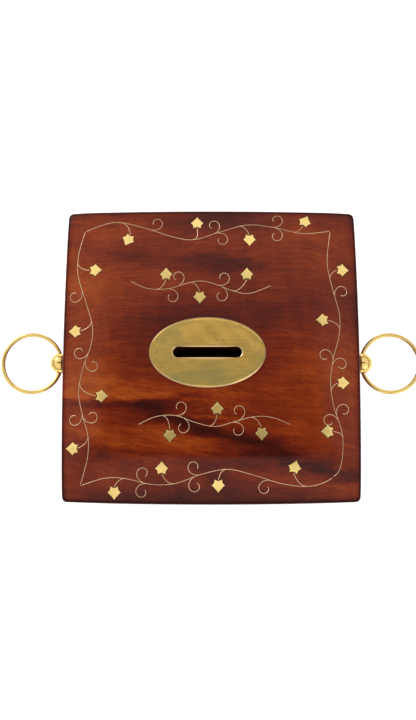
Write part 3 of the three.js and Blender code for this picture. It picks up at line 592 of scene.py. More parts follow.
lidWood = lacqueredWood("lidWood", streaks=lidFigureAndBorderLight, sweep=0.14, rim=True)
frontWood = lacqueredWood("frontWood", offset=(0.31, 0.05, 0.02), bareInside=True)
backWood = lacqueredWood("backWood", offset=(0.83, 0.11, 0.05), bareInside=True)
leftWood = lacqueredWood("leftWood", turn=math.pi / 2, offset=(0.47, 0.02, 0.01), bareInside=True)
rightWood = lacqueredWood("rightWood", turn=math.pi / 2, offset=(0.12, 0.07, 0.04), bareInside=True)
# The aged brass's pale rim colour is a painted highlight on the bevels of the slot and keyhole plates.
agedBrass = brass("agedBrass", (0.68, 0.435, 0.108), (0.30, 0.245, 0.085), 0.9, 1.0, 0.27, 0.3,
                  rim=(0.68, 0.48, 0.29))
nailBrass = brass("nailBrass", (0.45, 0.31, 0.11), (0.12, 0.09, 0.04), 0.9, 0.3, 0.4)
leafBrass = brass("leafBrass", (0.88, 0.66, 0.25), (0.66, 0.46, 0.16), 0.5, 0.35, 0.23, 0.2)
vineBrass = brass("vineBrass", (0.86, 0.55, 0.33), (0.48, 0.28, 0.16), 0.6, 0.2, 0.24)
polishedBrass = brass("polishedBrass", (0.86, 0.62, 0.22), (0.50, 0.34, 0.12), 0.35, 0.12, 0.12, 0.06)
hingeBrass = brass("hingeBrass", (0.74, 0.52, 0.20), (0.36, 0.25, 0.10), 0.7, 0.5, 0.26)
seamShade = makeSeamShade()
paleFloor = makePaleFloor()
baseWood = lacqueredWood("baseWood", offset=(0.6, 0.2, 0.3), bareInside=True)
lockSteel = brass("lockSteel", (0.34, 0.34, 0.345), (0.16, 0.14, 0.12), 0.6, 0.7, 0.36)
print("materials made")


lid = {
    "bow": 1.2 * mm, "corner": 3.2 * mm, "flatHalf": 52 * mm, "border": 24 * mm, "drop": 5 * mm,
    "power": 1.5, "mitre": 16 * mm, "rounding": 1.5 * mm, "underRounding": 0.7 * mm,
    "slotLength": 37.1 * mm, "slotWidth": 7 * mm, "slotShift": -2 * mm, "quarterSteps": 100,
}
lid["half"] = lidHigh.x - lid["bow"]


# Height of the lid's top: the drop times (how far into the border / its width) ^ power, where the reach
# is the larger of |x| and |y|, rounded off near the diagonals.
def lidSurface(x, y):
    reachX, reachY = np.abs(x), np.abs(y)
    near = np.maximum(lid["mitre"] - np.abs(reachX - reachY), 0) / lid["mitre"]
    reach = np.maximum(reachX, reachY) + near ** 2 * lid["mitre"] / 4
    fall = np.maximum(reach - lid["flatHalf"], 0) / lid["border"]
    return lidHigh.z - lid["drop"] * fall ** lid["power"]


# The lid from above: each side is a shallow parabola, half + bow * (1 - (s / start)^2), and each corner
# a quadratic curve. One quarter is drawn and turned three times.
def lidLine():
    half, start = lid["half"], lid["half"] - lid["corner"]
    s = np.linspace(0, start, 40)
    side = half + lid["bow"] * (1 - (s / start) ** 2)
    t = np.linspace(0, 1, 14)[1:-1, None]
    corner = quadratic((half, start), (half, half), (start, half), t)
    quarter = np.vstack([np.stack([side, s], -1), corner, np.stack([s, side], -1)[::-1]])
    turns = [quarter, quarter[:, ::-1] * (-1, 1), -quarter, quarter[:, ::-1] * (1, -1)]
    return np.vstack(turns)


# Shares of the way round the lid, close together at the corners: u ^ 1.8 away from each of them.
def cornerShares():
    u = np.linspace(-1, 1, lid["quarterSteps"], endpoint=False)
    quarter = 0.5 + 0.5 * np.sign(u) * np.abs(u) ** 1.8
    return ((np.arange(4)[:, None] + quarter) / 4).ravel()


# The lid as one grid: rows go from the slot's edge across the top, round the arris, down the side, back
# along the underside and up the slot's wall. Inside the border the rows blend slot and outline.
def makeLid():
    shares = cornerShares()
    outline = along(lidLine(), shares)
    slot = along(slotLine(lid["slotLength"], lid["slotWidth"]), shares) + (lid["slotShift"], 0)
    r, under, half = lid["rounding"], lid["underRounding"], lid["half"]

    def row(flat, height):
        return np.column_stack([flat, np.broadcast_to(height, len(flat))])

    inset = outline * (1 - r / half)
    # The marks are the rim mark: painted shade that darkens the lid near its outline, on the arris, down the
    # side and under the edge.
    rows, marks = [], []
    for share in np.r_[np.linspace(0, 0.5, 8), np.linspace(0.52, 1, 50)]:
        flat = slot * (1 - share) + inset * share
        rows.append(row(flat, lidSurface(flat[:, 0], flat[:, 1])))
        marks.append(0.55 * np.exp(-(np.linalg.norm(outline - flat, axis=1) / (2.6 * mm)) ** 2))
    for angle in np.linspace(0, math.pi / 2, 8)[1:]:
        flat = outline * (1 - r * (1 - math.sin(angle)) / half)
        rows.append(row(flat, lidSurface(flat[:, 0], flat[:, 1]) - r * (1 - math.cos(angle))))
        marks.append(np.full(len(flat), 0.9))
    edgeTop = rows[-1][:, 2]
    for share in (0.15, 0.4, 0.7):
        rows.append(row(outline, edgeTop * (1 - share) + (lidLow.z + under) * share))
        marks.append(np.full(len(outline), 0.1))
    for angle in np.linspace(0, math.pi / 2, 6):
        flat = outline * (1 - under * (1 - math.cos(angle)) / half)
        rows.append(row(flat, lidLow.z + under * (1 - math.sin(angle))))
        marks.append(np.full(len(flat), 0.7))
    for share in (0.94, 0.7, 0.35, 0.0):
        rows.append(row(slot * (1 - share) + flat * share, lidLow.z))
        marks.append(np.zeros(len(flat)))
    rows.append(row(slot, (lidLow.z + lidHigh.z) / 2))
    marks.append(np.zeros(len(slot)))
    points = np.stack(rows)
    return shell(points, ringed=True), np.stack(marks)


lidShell, lidMarks = makeLid()
lidBoard = makePiece("lidBoard", [lidShell], lidWood, "lid", ("lid_board",),
                     {"rim": lidMarks})


hinge = {
    "knuckle": 2.2 * mm, "bore": 0.98 * mm, "gap": 0.3 * mm, "thickness": 1.1 * mm, "pin": 0.9 * mm,
    "pinHead": 1.25 * mm, "screwSpacing": 15 * mm, "screwHead": 1.95 * mm, "room": 0.35 * mm,
    "mortise": 0.2 * mm, "pinReach": 0.6 * mm, "screwDome": 0.1 * mm,
}


# A slotted screw: two half-round halves of the head stand on a tapering shank, with the slot's floor
# between them. Basis gives the directions across, along and out of the head.
def screw(centre, basis, radius, dome, turn):
    halfSlot, depth = 0.17 * radius, 0.3 * radius
    reach = math.acos(halfSlot / radius)
    head = circlePoints(radius, np.linspace(-reach, reach, 15)) @ turnMatrix(turn)
    levels = [(0, -depth), (0, 0), (0.06, dome * 0.5), (0.3, dome * 0.85), (0.7, dome)]
    shank = [(0.62, -3.0 * radius), (0.5, -1.2 * radius), (0.03, -depth * 1.1), (0.03, -depth)]
    return [stacked(head, levels, centre, basis), stacked(-head, levels, centre, basis),
            stacked(circlePoints(radius, roundTurn(28)), shank, centre, basis)]


up = np.eye(3)
down = np.diag([1.0, -1.0, -1.0])


# Where a hinge lies: the middle of its pin, half its length, and where its plates start and end along Y.
def hingePlace(word):
    low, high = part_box(word + "_hinge_lid_leaf")
    axisY = high.y - hinge["knuckle"]
    return {"axis": (middleOf(low, high)[0], axisY, (lidLow.z + wallHigh.z) / 2),
            "reach": (high.x - low.x) / 2, "front": low.y, "clear": axisY - hinge["knuckle"] - hinge["gap"]}


# One leaf and its two screws: a plate, and for each knuckle a strap that runs into a tube. Spans are the
# ends of its knuckles from the hinge's middle, and basis gives the way that its screws face.
def makeHingeLeaf(word, part, at, spans, low, basis, body):
    x, axisY, _ = at["axis"]
    high = low + hinge["thickness"]
    levels = [(0.02, low), (0.004, low + 0.12 * mm), (0.004, high - 0.12 * mm), (0.02, high)]
    plate = rectangle(x - at["reach"], at["front"], x + at["reach"], at["clear"], 0.8 * mm)
    shells = [stacked(plate, levels)]
    bore, outside = hinge["bore"], hinge["knuckle"]
    for start, end in spans:
        strap = rectangle(x + start, at["clear"] - 1 * mm, x + end, axisY, 0.1 * mm)
        shells.append(stacked(strap, levels))
        tube = softened([(start, bore), (end, bore), (end, outside), (start, outside)],
                        (0.05 * mm, 0.05 * mm, 0.3 * mm, 0.3 * mm), closed=True)
        shells.append(turned(tube, "x", at["axis"], 40, ringed=True))
    makePiece(word + "Hinge" + part + "Leaf", shells, hingeBrass, body,
              (word + "_hinge_" + part.lower() + "_leaf",))
    screws = []
    for side in (-1, 1):
        place = (x + side * hinge["screwSpacing"] / 2, (at["front"] + at["clear"]) / 2,
                 low if part == "Lid" else high)
        screws += screw(place, basis, hinge["screwHead"], hinge["screwDome"], dice.uniform(0, math.pi))
    makePiece(word + "Hinge" + part + "Screws", screws, hingeBrass, body)


# The pin: a rod with a wider head at one end.
def makeHingePin(word, at):
    neck, tip = at["reach"] + 0.05 * mm, at["reach"] + hinge["pinReach"]
    pin = softened([(-tip, 0), (-tip, hinge["pin"]), (neck, hinge["pin"]), (neck, hinge["pinHead"]),
                    (tip, hinge["pinHead"]), (tip, 0)], (0, 0.3 * mm, 0, 0.1 * mm, 0.3 * mm, 0))
    makePiece(word + "HingePin", [turned(pin, "x", at["axis"], 28)], hingeBrass, "box_body",
              (word + "_hinge_pin",))


# What the lid gives up to a hinge: a mortise for the leaf and a round channel for the knuckles.
def hingeCutters(at):
    x, axisY, _ = at["axis"]
    side, channel = at["reach"] + hinge["mortise"], hinge["knuckle"] + hinge["room"]
    mortise = rectangle(x - side, at["front"] - hinge["mortise"], x + side, axisY + channel, 0.05 * mm)
    end = side + hinge["pinReach"]
    barrel = [(-end, 0), (-end, channel), (end, channel), (end, 0)]
    return [stacked(mortise, [(0, lidLow.z - 1 * mm), (0, lidLow.z + hinge["thickness"])]),
            turned(barrel, "x", at["axis"], 40)]


cutters = []
for word in ("left", "right"):
    at = hingePlace(word)
    reach, third, gap = at["reach"], at["reach"] / 3, hinge["gap"] / 2
    makeHingeLeaf(word, "Lid", at, [(-third + gap, third - gap)], lidLow.z, down, "lid")
    makeHingeLeaf(word, "Body", at, [(-reach, -third - gap), (third + gap, reach)],
                  wallHigh.z - hinge["thickness"], up, "box_body")
    makeHingePin(word, at)
    cutters += hingeCutters(at)


# The hinge mortises and the link plate's recess are cut out of the lid's underside.
linkLow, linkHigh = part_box("lock_link_plate")
linkY = middleOf(linkLow, linkHigh)[1]
linkRoom = 0.4 * mm
recess = slotLine(linkHigh.x - linkLow.x + linkRoom, linkHigh.y - linkLow.y + linkRoom, 10)[:-1] + (0, linkY)
cutters.append(stacked(recess, [(0, lidLow.z - 1 * mm), (0, linkHigh.z)]))
for number, cutShell in enumerate(cutters):
    cutter = makePiece("cutter" + str(number), [cutShell], lidWood, "lid")
    cut = lidBoard.modifiers.new("cut", "BOOLEAN")
    cut.operation = "DIFFERENCE"
    cut.solver = "EXACT"
    cut.object = cutter
depsgraph = bpy.context.evaluated_depsgraph_get()
cutMesh = bpy.data.meshes.new_from_object(lidBoard.evaluated_get(depsgraph))
lidBoard.modifiers.clear()
lidBoard.data = cutMesh
cutMesh.set_sharp_from_angle(angle=sharpAngle)
for number in range(len(cutters)):
    bpy.data.objects.remove(bpy.data.objects["cutter" + str(number)])
print("lid and hinges made,", len(cutMesh.polygons), "faces in the lid")


plateLow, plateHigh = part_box("slot_plate")
plate = {
    "slotLength": 35.5 * mm, "slotWidth": 5.4 * mm, "rim": 0.75 * mm, "slotRim": 0.55 * mm,
    "slotDrop": 0.22 * mm, "bevel": 0.5 * mm, "uneven": 0.035 * mm, "columns": 320,
    "nailSpacing": 52.5 * mm, "nailHead": 1.1 * mm, "nailShank": 0.6 * mm, "nailLength": 6 * mm,
}


# The oval plate: a band from the slot to an ellipse, bevelled at both edges. Its top is a little uneven:
# two crossed sine waves, as in hand-filed sheet.
def makeSlotPlate():
    middle = middleOf(plateLow, plateHigh)
    halfX, halfY = (plateHigh.x - plateLow.x) / 2, (plateHigh.y - plateLow.y) / 2
    high = plateHigh.z - plateLow.z
    shares = np.linspace(0, 1, plate["columns"], endpoint=False)
    oval = circlePoints((halfX, halfY), 2 * math.pi * shares)
    slot = along(slotLine(plate["slotLength"], plate["slotWidth"]), shares)
    gap = halfY - plate["slotWidth"] / 2
    edge, lip = gap - plate["rim"], plate["slotRim"]
    inner = softened([(0, 0), (0, high - plate["slotDrop"]), (lip, high)], (0, 0.06 * mm, 0.08 * mm))
    middleRows = np.column_stack([np.linspace(lip, edge, 22)[1:-1], np.full(20, high)])
    outer = softened([(edge, high), (gap, high - plate["bevel"]), (gap, 0)], (0.25 * mm, 0.12 * mm, 0))
    profile = np.vstack([inner, middleRows, outer]) * (1 / gap, 1)
    points = band(slot, oval, profile)
    x, y = points[..., 0], points[..., 1]
    waves = np.sin(260 * x + 1) * np.sin(390 * y + 2) + 0.5 * np.sin(610 * x + 470 * y)
    level = np.clip((profile[:, 1] - high) / (0.1 * mm) + 1, 0, 1)[:, None]
    across = profile[:, :1]
    flatness = level * np.clip(across * 6, 0, 1) * np.clip((1 - across) * 6, 0, 1)
    points[..., 2] += plate["uneven"] * waves * flatness
    # The rim mark covers the outer bevel and the slot's bevel, where the rim colour paints a highlight.
    rim = np.clip((across - edge / gap) / 0.02, 0, 1) + np.clip(1 - across / (2 * lip / gap), 0, 1)
    points += (middle[0], middle[1], plateLow.z)
    marks = np.broadcast_to(np.clip(rim, 0, 1), points.shape[:2])
    makePiece("slotPlate", [shell(points, ringed=True)], agedBrass, "lid", ("slot_plate",),
              {"rim": marks})
    for side, word in ((-1, "left"), (1, "right")):
        makePlateNail(word, (middle[0] + side * plate["nailSpacing"] / 2, middle[1], plateHigh.z))


# A nail turned about Z: a shank in the wood under a low round head.
def makePlateNail(word, place):
    head, shank, tail = plate["nailHead"], plate["nailShank"], -plate["nailLength"]
    profile = softened([(tail, 0), (tail + 1 * mm, shank), (0, shank), (0, head), (0.22 * mm, head * 0.7),
                        (0.3 * mm, 0)], (0, 0, 0, 0.08 * mm, 0.3 * mm, 0))
    makePiece(word + "PlateNail", [turned(profile, "z", place, 28)], nailBrass, "lid",
              ("slot_plate_nail_" + word,))


makeSlotPlate()
print("slot plate made")


# Each vine is a smooth line through a few points, in millimetres. A leaf is (share of the way along at
# which its stem leaves, x and y of its middle, direction of its tip in degrees). A curl is (share, side),
# with 1 for the left of the way the line runs and -1 for the right.
vines = {
    "back": {
        "points": [(-66, 65), (-51, 70), (-36, 67), (-20, 61.5), (-9, 60), (5, 64.5), (19, 68.5), (33, 67),
                   (48, 63.5), (62.4, 65)],
        "leaves": [(0.14, -43.5, 60, -115), (0.44, -7.5, 69.5, 90), (0.63, 20, 60, -90),
                   (0.85, 49.5, 70.5, 65)],
        "curls": [(0.27, 1), (0.53, 1), (0.54, -1), (0.77, 1), (0.78, -1)],
    },
    "left": {
        "points": [(-66.4, 64.6), (-68.4, 58), (-70, 50), (-69.5, 40), (-65, 26), (-61.5, 14), (-62, 4),
                   (-66, -8), (-68, -20), (-66, -31), (-62.5, -43), (-62.5, -53), (-64.6, -62),
                   (-66.2, -67.3)],
        "leaves": [(0.12, -60.5, 43.5, 0), (0.36, -70.5, 11.5, 180), (0.6, -56, -22.5, 0),
                   (0.81, -70.5, -49, 180)],
        "curls": [(0.24, -1), (0.49, -1), (0.52, 1), (0.73, -1), (0.74, 1)],
    },
    "front": {
        "points": [(61.2, -63.6), (56, -66.4), (48, -68), (35, -66.5), (20, -62), (8, -59.5), (-5, -62),
                   (-18, -66.5), (-30, -67), (-44, -64), (-54, -64), (-66, -67.6)],
        "leaves": [(0.1, 42, -58.5, 75), (0.42, 3.5, -67.5, -90), (0.63, -25, -59, 90),
                   (0.82, -49, -71, -90)],
        "curls": [(0.25, 1), (0.53, -1), (0.55, 1), (0.74, 1), (0.75, -1)],
    },
    "right": {
        "points": [(61.5, -63.3), (64.6, -60), (66.5, -52), (66.5, -41), (62.5, -28), (61, -16),
                   (62.5, -4), (66, 9), (66.5, 20), (63, 34), (60.5, 48), (62.6, 64.6)],
        "leaves": [(0.16, 59, -40.5, 180), (0.34, 67.5, -15.5, 0), (0.59, 57.5, 17, 180), (0.8, 68.5, 44, 0)],
        "curls": [(0.23, 1), (0.25, -1), (0.45, -1), (0.47, 1), (0.73, -1)],
    },
    "upper": {
        "points": [(-42, 37.5), (-33, 33.5), (-22, 33.5), (-12, 36.5), (-5, 37.5), (3, 35.5), (12, 32),
                   (20, 31), (31, 35)],
        "leaves": [(0.18, -23.5, 41, 90), (0.42, -6, 29, -90), (0.71, 18.5, 41, 90)],
        "curls": [(0.27, -1), (0.34, 1), (0.62, 1), (0.65, -1)],
    },
    "lower": {
        "points": [(-37, -37), (-28, -33), (-18, -32.5), (-8, -36), (2, -38), (12, -35.5), (22, -33),
                   (31, -33.5), (40, -37)],
        "leaves": [(0.15, -21, -42.5, -90), (0.46, 3, -29, 90), (0.73, 25.5, -41.5, -90)],
        "curls": [(0.25, 1), (0.3, -1), (0.62, -1), (0.66, 1)],
    },
}
inlay = {
    "wire": 0.3 * mm, "proud": 0.05 * mm, "seam": 0.09 * mm, "seamProud": 0.02 * mm, "step": 0.5 * mm,
    "curlLength": 17 * mm, "curlTurn": math.radians(315), "curlStart": math.radians(14), "curlPower": 1.5,
    "leafProud": 0.14 * mm, "leafSeam": 0.3 * mm, "leafHollow": 0.045, "stemGap": 0.4 * mm,
    "leafTip": 3.7 * mm, "leafNotch": -2.2 * mm,
    "leafSide": [(1.5, 1.85), (0.1, 3.4), (-1.4, 2.15), (-3.0, 1.95)],
}


# A Catmull-Rom line through points: a cubic on each span, whose slope at a point is half the step from
# the point before it to the one after it.
def throughPoints(points):
    points = np.array(points, float) * mm
    padded = np.vstack([points[:1], points, points[-1:]])
    before, start, end, after = padded[:-3], padded[1:-2], padded[2:-1], padded[3:]
    slopeStart, slopeEnd = (end - before) / 2, (after - start) / 2
    t = np.linspace(0, 1, 24, endpoint=False)[:, None, None]
    cubic = (2 * start - 2 * end + slopeStart + slopeEnd) * t ** 3
    cubic = cubic + (3 * end - 3 * start - 2 * slopeStart - slopeEnd) * t ** 2 + slopeStart * t + start
    return np.vstack([cubic.transpose(1, 0, 2).reshape(-1, 2), points[-1:]])


# The place and heading of a line at a share of its length.
def placeAndHeading(line, share):
    near = along(line, np.clip(np.array([share - 0.002, share, share + 0.002]), 0, 1))
    step = near[2] - near[0]
    return near[1], math.atan2(step[1], step[0])


# A curl: its heading turns by curlTurn * s ^ power over its length, so it winds up towards its end.
def curlLine(vine, share, side):
    start, heading = placeAndHeading(vine, share)
    s = np.linspace(0, 1, 60)
    turn = heading + side * (inlay["curlStart"] + inlay["curlTurn"] * s ** inlay["curlPower"])
    steps = circlePoints(1, turn)[:-1] * inlay["curlLength"] / (len(s) - 1)
    return np.vstack([start, start + np.cumsum(steps, 0)])


# A stem: a quadratic curve that leaves the vine along it and ends just short of its leaf's notch.
def stemLine(vine, share, x, y, tipAngle):
    start, heading = placeAndHeading(vine, share)
    end = np.array([x, y]) * mm + circlePoints(inlay["leafNotch"] - inlay["stemGap"], math.radians(tipAngle))
    pull = start + circlePoints(np.linalg.norm(end - start) / 2, heading)
    return quadratic(start, pull, end, np.linspace(0, 1, 24)[:, None])


# Flat points laid on the lid's top and lifted off it, as a closed shell.
def onLid(flat, lift):
    return shell(raised(flat, (lidSurface(flat[..., 0], flat[..., 1]) + lift)[..., None]))


# A wire let into the lid: a flat ellipse carried along a line on the lid's surface, rounded at its ends.
def wireShell(line, width, proud):
    length = np.linalg.norm(np.diff(line, axis=0), axis=1).sum()
    shares = np.linspace(0, 1, max(int(length / inlay["step"]), 8))
    path = along(line, shares)
    run = np.gradient(path, axis=0)
    run /= np.linalg.norm(run, axis=1, keepdims=True)
    aside = np.stack([-run[:, 1], run[:, 0]], -1)
    fromEnd = np.minimum(shares, 1 - shares) * length
    taper = np.sqrt(np.clip(fromEnd / (1.2 * width), 0.02, 1))[:, None]
    turn = roundTurn(10)
    flat = path[:, None] + aside[:, None] * (taper * np.cos(turn))[..., None] * width / 2
    return onLid(flat, proud * np.sin(turn) * taper)


# A leaf's outline in its own frame: a tip, two lobes on each side, and a notch for the stem. Between these
# corners the edges are a little hollow: a sine along each edge, pushed towards the leaf's middle.
def leafLine(grow):
    side = np.array(inlay["leafSide"]) * mm
    corners = np.vstack([[(inlay["leafTip"], 0)], side, [(inlay["leafNotch"], 0)], side[::-1] * (1, -1)])
    ends = np.roll(corners, -1, 0)
    t = np.linspace(0, 1, 6, endpoint=False)[:, None, None]
    line = (corners * (1 - t) + ends * t).transpose(1, 0, 2).reshape(-1, 2)
    hollow = np.tile(np.sin(math.pi * t[:, 0, 0]), len(corners))[:, None]
    length = np.linalg.norm(line, axis=1, keepdims=True)
    return line * (1 - inlay["leafHollow"] * hollow + grow / length)


# A leaf let into the lid: its outline drawn inwards over the top to a pole, and the same below. The
# shares are of its outline and the lifts of how far it stands proud.
def leafShell(leaf, grow, proud):
    _, x, y, tipAngle = leaf
    outline = leafLine(grow) @ turnMatrix(math.radians(tipAngle))
    shares = np.array([0, 0, 0.3, 0.6, 0.93, 0.98, 1, 1, 0.5, 0])
    lifts = np.array([1, 1, 1, 1, 1, 0.9, 0.4, -3, -3, -3])
    return onLid(outline * shares[:, None, None] + np.array([x, y]) * mm, lifts[:, None] * proud)


for word, vine in vines.items():
    main = throughPoints(vine["points"])
    lines = [main]
    lines += [stemLine(main, *leaf) for leaf in vine["leaves"]]
    lines += [curlLine(main, share, side) for share, side in vine["curls"]]
    wires = [wireShell(line, inlay["wire"], inlay["proud"]) for line in lines]
    makePiece(word + "Vine", wires, vineBrass, "lid", ("vine_" + word,))
    # Each wire and leaf gets a dark seam band round it, a painted shade of the gap round the inlay.
    seams = [wireShell(line, inlay["wire"] + 2 * inlay["seam"], inlay["seamProud"]) for line in lines]
    seams += [leafShell(leaf, inlay["leafSeam"], inlay["seamProud"]) for leaf in vine["leaves"]]
    makePiece(word + "VineSeam", seams, seamShade, "lid")
    for number, leaf in enumerate(vine["leaves"], 1):
        makePiece(word + "Leaf" + str(number), [leafShell(leaf, 0, inlay["leafProud"])], leafBrass, "lid",
                  ("leaf_" + word + "_" + str(number),))
print("inlay made")


ringLow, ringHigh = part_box("right_ring")
handle = {
    "wire": (ringHigh.z - ringLow.z) / 2, "ring": 16.15 * mm, "ball": 5.65 * mm, "standOff": 9 * mm,
    "hole": 1.91 * mm, "lip": 0.4 * mm, "shank": 2.4 * mm, "flange": 5.5 * mm, "neck": 2.4 * mm,
    "washer": 6 * mm, "washerBore": 2.7 * mm, "washerThick": 0.8 * mm, "nut": 8 * mm, "nutThick": 3.2 * mm,
    "nutBore": 2.5 * mm, "height": (ringLow.z + ringHigh.z) / 2, "wall": wallHigh.x - wallLow.x,
}


# The ball turned about its bore: along the bore, round its lip, then radius = sqrt(ball^2 - along^2).
def ballShell(centre):
    ball, hole, lip = handle["ball"], handle["hole"], handle["lip"]
    start = math.asin((hole + lip) / ball)
    angle = np.linspace(start, math.pi - start, 40)
    surface = circlePoints(ball, angle)
    edge = math.sqrt(ball ** 2 - hole ** 2)
    t = np.linspace(0, 1, 7)[1:-1, None]
    into = quadratic(surface[-1], (-edge, hole), (-edge + lip, hole), t)
    bore = np.stack([np.linspace(-edge + lip, edge - lip, 8), np.full(8, hole)], -1)
    profile = np.vstack([surface, into, bore, into[::-1] * (-1, 1)])
    return turned(profile, "y", centre, 72, ringed=True)


# The ring: a round wire carried round a circle.
def ringShell(centre):
    a, b = roundTurn(200)[:, None], roundTurn(28)
    out = handle["ring"] + handle["wire"] * np.cos(b)
    points = raised(circlePoints(out[:, None], a), handle["wire"] * np.sin(b)[:, None])
    return shell(np.array(centre) + points, ringed=True)


# The post, turned from the tail of its thread to the end of its neck, which lies in the ball's wall.
def postProfile():
    shank, flange, neck = handle["shank"], handle["flange"], handle["neck"]
    tail = -handle["wall"] - handle["washerThick"] - handle["nutThick"] - 0.6 * mm
    start = softened([(tail, 0), (tail, shank), (tail + 0.8 * mm, shank)], (0, 0.4 * mm, 0))
    threaded = np.linspace(tail + 0.85 * mm, -handle["wall"], 60)
    bead = neck + 0.75 * mm
    shown = softened([
        (-0.1 * mm, shank), (0, shank), (0, flange), (1.0 * mm, flange), (1.2 * mm, 4.3 * mm),
        (1.9 * mm, neck + 0.1 * mm), (2.3 * mm, bead), (3.0 * mm, bead), (3.3 * mm, neck),
        (3.9 * mm, neck + 0.3 * mm), (5.5 * mm, neck), (5.5 * mm, 0),
    ], np.array([0, 0, 0.15, 0.5, 0.3, 0.35, 0.3, 0.3, 0.25, 0.2, 0, 0]) * mm)
    return tail, np.vstack([start, np.column_stack([threaded, np.full(60, shank)]), shown])


# The directions across, along and out of a flat piece that faces along X, forwards or into the box.
bases = {
    "x": np.array([(0, 1, 0), (0, 0, 1), (1, 0, 0)]), "front": np.array([(1, 0, 0), (0, 0, 1), (0, -1, 0)]),
    "inwards": np.array([(1, 0, 0), (0, 0, -1), (0, 1, 0)]),
}


# A six-sided nut: a band from its bore to a hexagon, with its corners rounded and its rims eased.
def nutShell(centre, across, thick, bore):
    corner = across / 2 / math.cos(math.pi / 6)
    hexagon = softened(circlePoints(corner, roundTurn(6)), 0.5 * mm, closed=True)
    hexagon = np.vstack([hexagon, hexagon[:1]])
    outer = along(hexagon, np.linspace(0, 1, 96, endpoint=False))
    inner = circlePoints(bore, np.arctan2(outer[:, 1], outer[:, 0]))
    gap = across / 2 - bore
    profile = softened([(0, 0), (gap, 0), (gap, thick), (0, thick)], np.array([0.2, 0.4, 0.4, 0.2]) * mm,
                       closed=True) / (gap, 1)
    return shell(np.array(centre) + band(inner, outer, profile) @ bases["x"], ringed=True)


tail, post = postProfile()
thread = {"pitch": 0.7 * mm, "depth": 0.25 * mm, "low": tail + 0.8 * mm, "high": -handle["wall"]}


# One handle: the post with its ball, the ring, and the washer and nut inside the box.
def makeHandle(side, word):
    wallFace = (side * wallHigh.x, 0, handle["height"])
    ballPlace = (side * (wallHigh.x + handle["standOff"]), 0, handle["height"])
    stem = turned(post, "x", wallFace, 48, way=side, thread=thread)
    makePiece(word + "BallPost", [stem, ballShell(ballPlace)], polishedBrass, "box_body",
              (word + "_ball_post",))
    ringX = middleOf(*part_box(word + "_ring"))[0]
    makePiece(word + "Ring", [ringShell((ringX, 0, handle["height"]))], polishedBrass,
              word + "_ring", (word + "_ring",))
    start = -handle["wall"]
    end = start - handle["washerThick"]
    bore, outside = handle["washerBore"], handle["washer"]
    disc = softened([(start, bore), (start, outside), (end, outside), (end, bore)], 0.15 * mm, closed=True)
    makePiece(word + "PostWasher", [turned(disc, "x", wallFace, 48, ringed=True, way=side)], hingeBrass,
              "box_body", (word + "_post_washer",))
    low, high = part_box(word + "_post_nut")
    nut = nutShell((low.x, 0, handle["height"]), handle["nut"], high.x - low.x, handle["nutBore"])
    makePiece(word + "PostNut", [nut], hingeBrass, "box_body", (word + "_post_nut",))


makeHandle(-1, "left")
makeHandle(1, "right")
print("ring handles made")


keyLow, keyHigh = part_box("keyhole_plate")
keyhole = {"height": wallHigh.z - 16.5 * mm, "radius": 2.2 * mm, "slit": 0.9 * mm, "slitEnd": 7.5 * mm,
           "rim": 0.6 * mm, "lip": 0.25 * mm, "pinSpan": 20.4 * mm}


# A band between the keyhole and an oval, both drawn by rays from the keyhole's middle: the hole's radius
# is its circle's, or in the slit the nearer of the slit's side and end. The oval's comes from a quadratic.
def makeKeyholePlate():
    corner = math.atan2(keyhole["slit"], keyhole["slitEnd"])
    mouth = math.asin(keyhole["slit"] / keyhole["radius"])
    fromBelow = np.r_[np.linspace(-corner, corner, 13), np.linspace(corner, mouth, 14)[1:],
                      np.linspace(mouth, 2 * math.pi - mouth, 110)[1:-1],
                      2 * math.pi - np.linspace(mouth, corner, 14)[:-1]]
    across, upward = np.sin(fromBelow), -np.cos(fromBelow)
    inSlit = np.minimum(keyhole["slit"] / np.maximum(np.abs(across), 1e-9),
                        keyhole["slitEnd"] / np.maximum(-upward, 1e-9))
    hole = np.where(upward < 0, np.maximum(keyhole["radius"], inSlit), keyhole["radius"])
    halfX, halfZ = (keyHigh.x - keyLow.x) / 2, (keyHigh.z - keyLow.z) / 2
    drop = (keyHigh.z + keyLow.z) / 2 - keyhole["height"]
    a = (across / halfX) ** 2 + (upward / halfZ) ** 2
    b = -2 * upward * drop / halfZ ** 2
    oval = (-b + np.sqrt(b ** 2 - 4 * a * ((drop / halfZ) ** 2 - 1))) / (2 * a)
    ray = np.stack([across, upward], -1)
    thick, gap = keyHigh.y - keyLow.y, halfX - keyhole["radius"]
    profile = softened([
        (0, 0), (0, thick - keyhole["lip"]), (keyhole["lip"], thick), (gap - keyhole["rim"], thick),
        (gap, thick * 0.55), (gap, 0),
    ], np.array([0, 0.06, 0.08, 0.2, 0.08, 0]) * mm) / (gap, 1)
    points = band(ray * hole[:, None], ray * oval[:, None], profile)
    centre = np.array([0, keyHigh.y, keyhole["height"]])
    # The rim mark covers the outer bevel, and the pins by half, where the rim colour paints a highlight.
    rim = np.clip((profile[:, :1] - 1 + keyhole["rim"] / gap) / 0.02, 0, 1)
    rim = np.broadcast_to(rim, points.shape[:2])
    shells, marks = [shell(centre + points @ bases["front"], ringed=True)], [rim.ravel()]
    for way in (-1, 1):
        pin = softened([(-0.5 * mm, 0), (-0.5 * mm, 0.8 * mm), (0.2 * mm, 0.8 * mm), (0.45 * mm, 0.4 * mm),
                        (0.5 * mm, 0)], (0, 0, 0.1 * mm, 0.2 * mm, 0))
        place = (0, keyLow.y, keyhole["height"] + drop + way * keyhole["pinSpan"] / 2)
        shells.append(turned(pin, "y", place, 20, way=-1))
        marks.append(np.full(len(shells[-1][0]), 0.5))
    makePiece("keyholePlate", shells, agedBrass, "box_body", ("keyhole_plate",),
              {"rim": np.concatenate(marks)})


makeKeyholePlate()


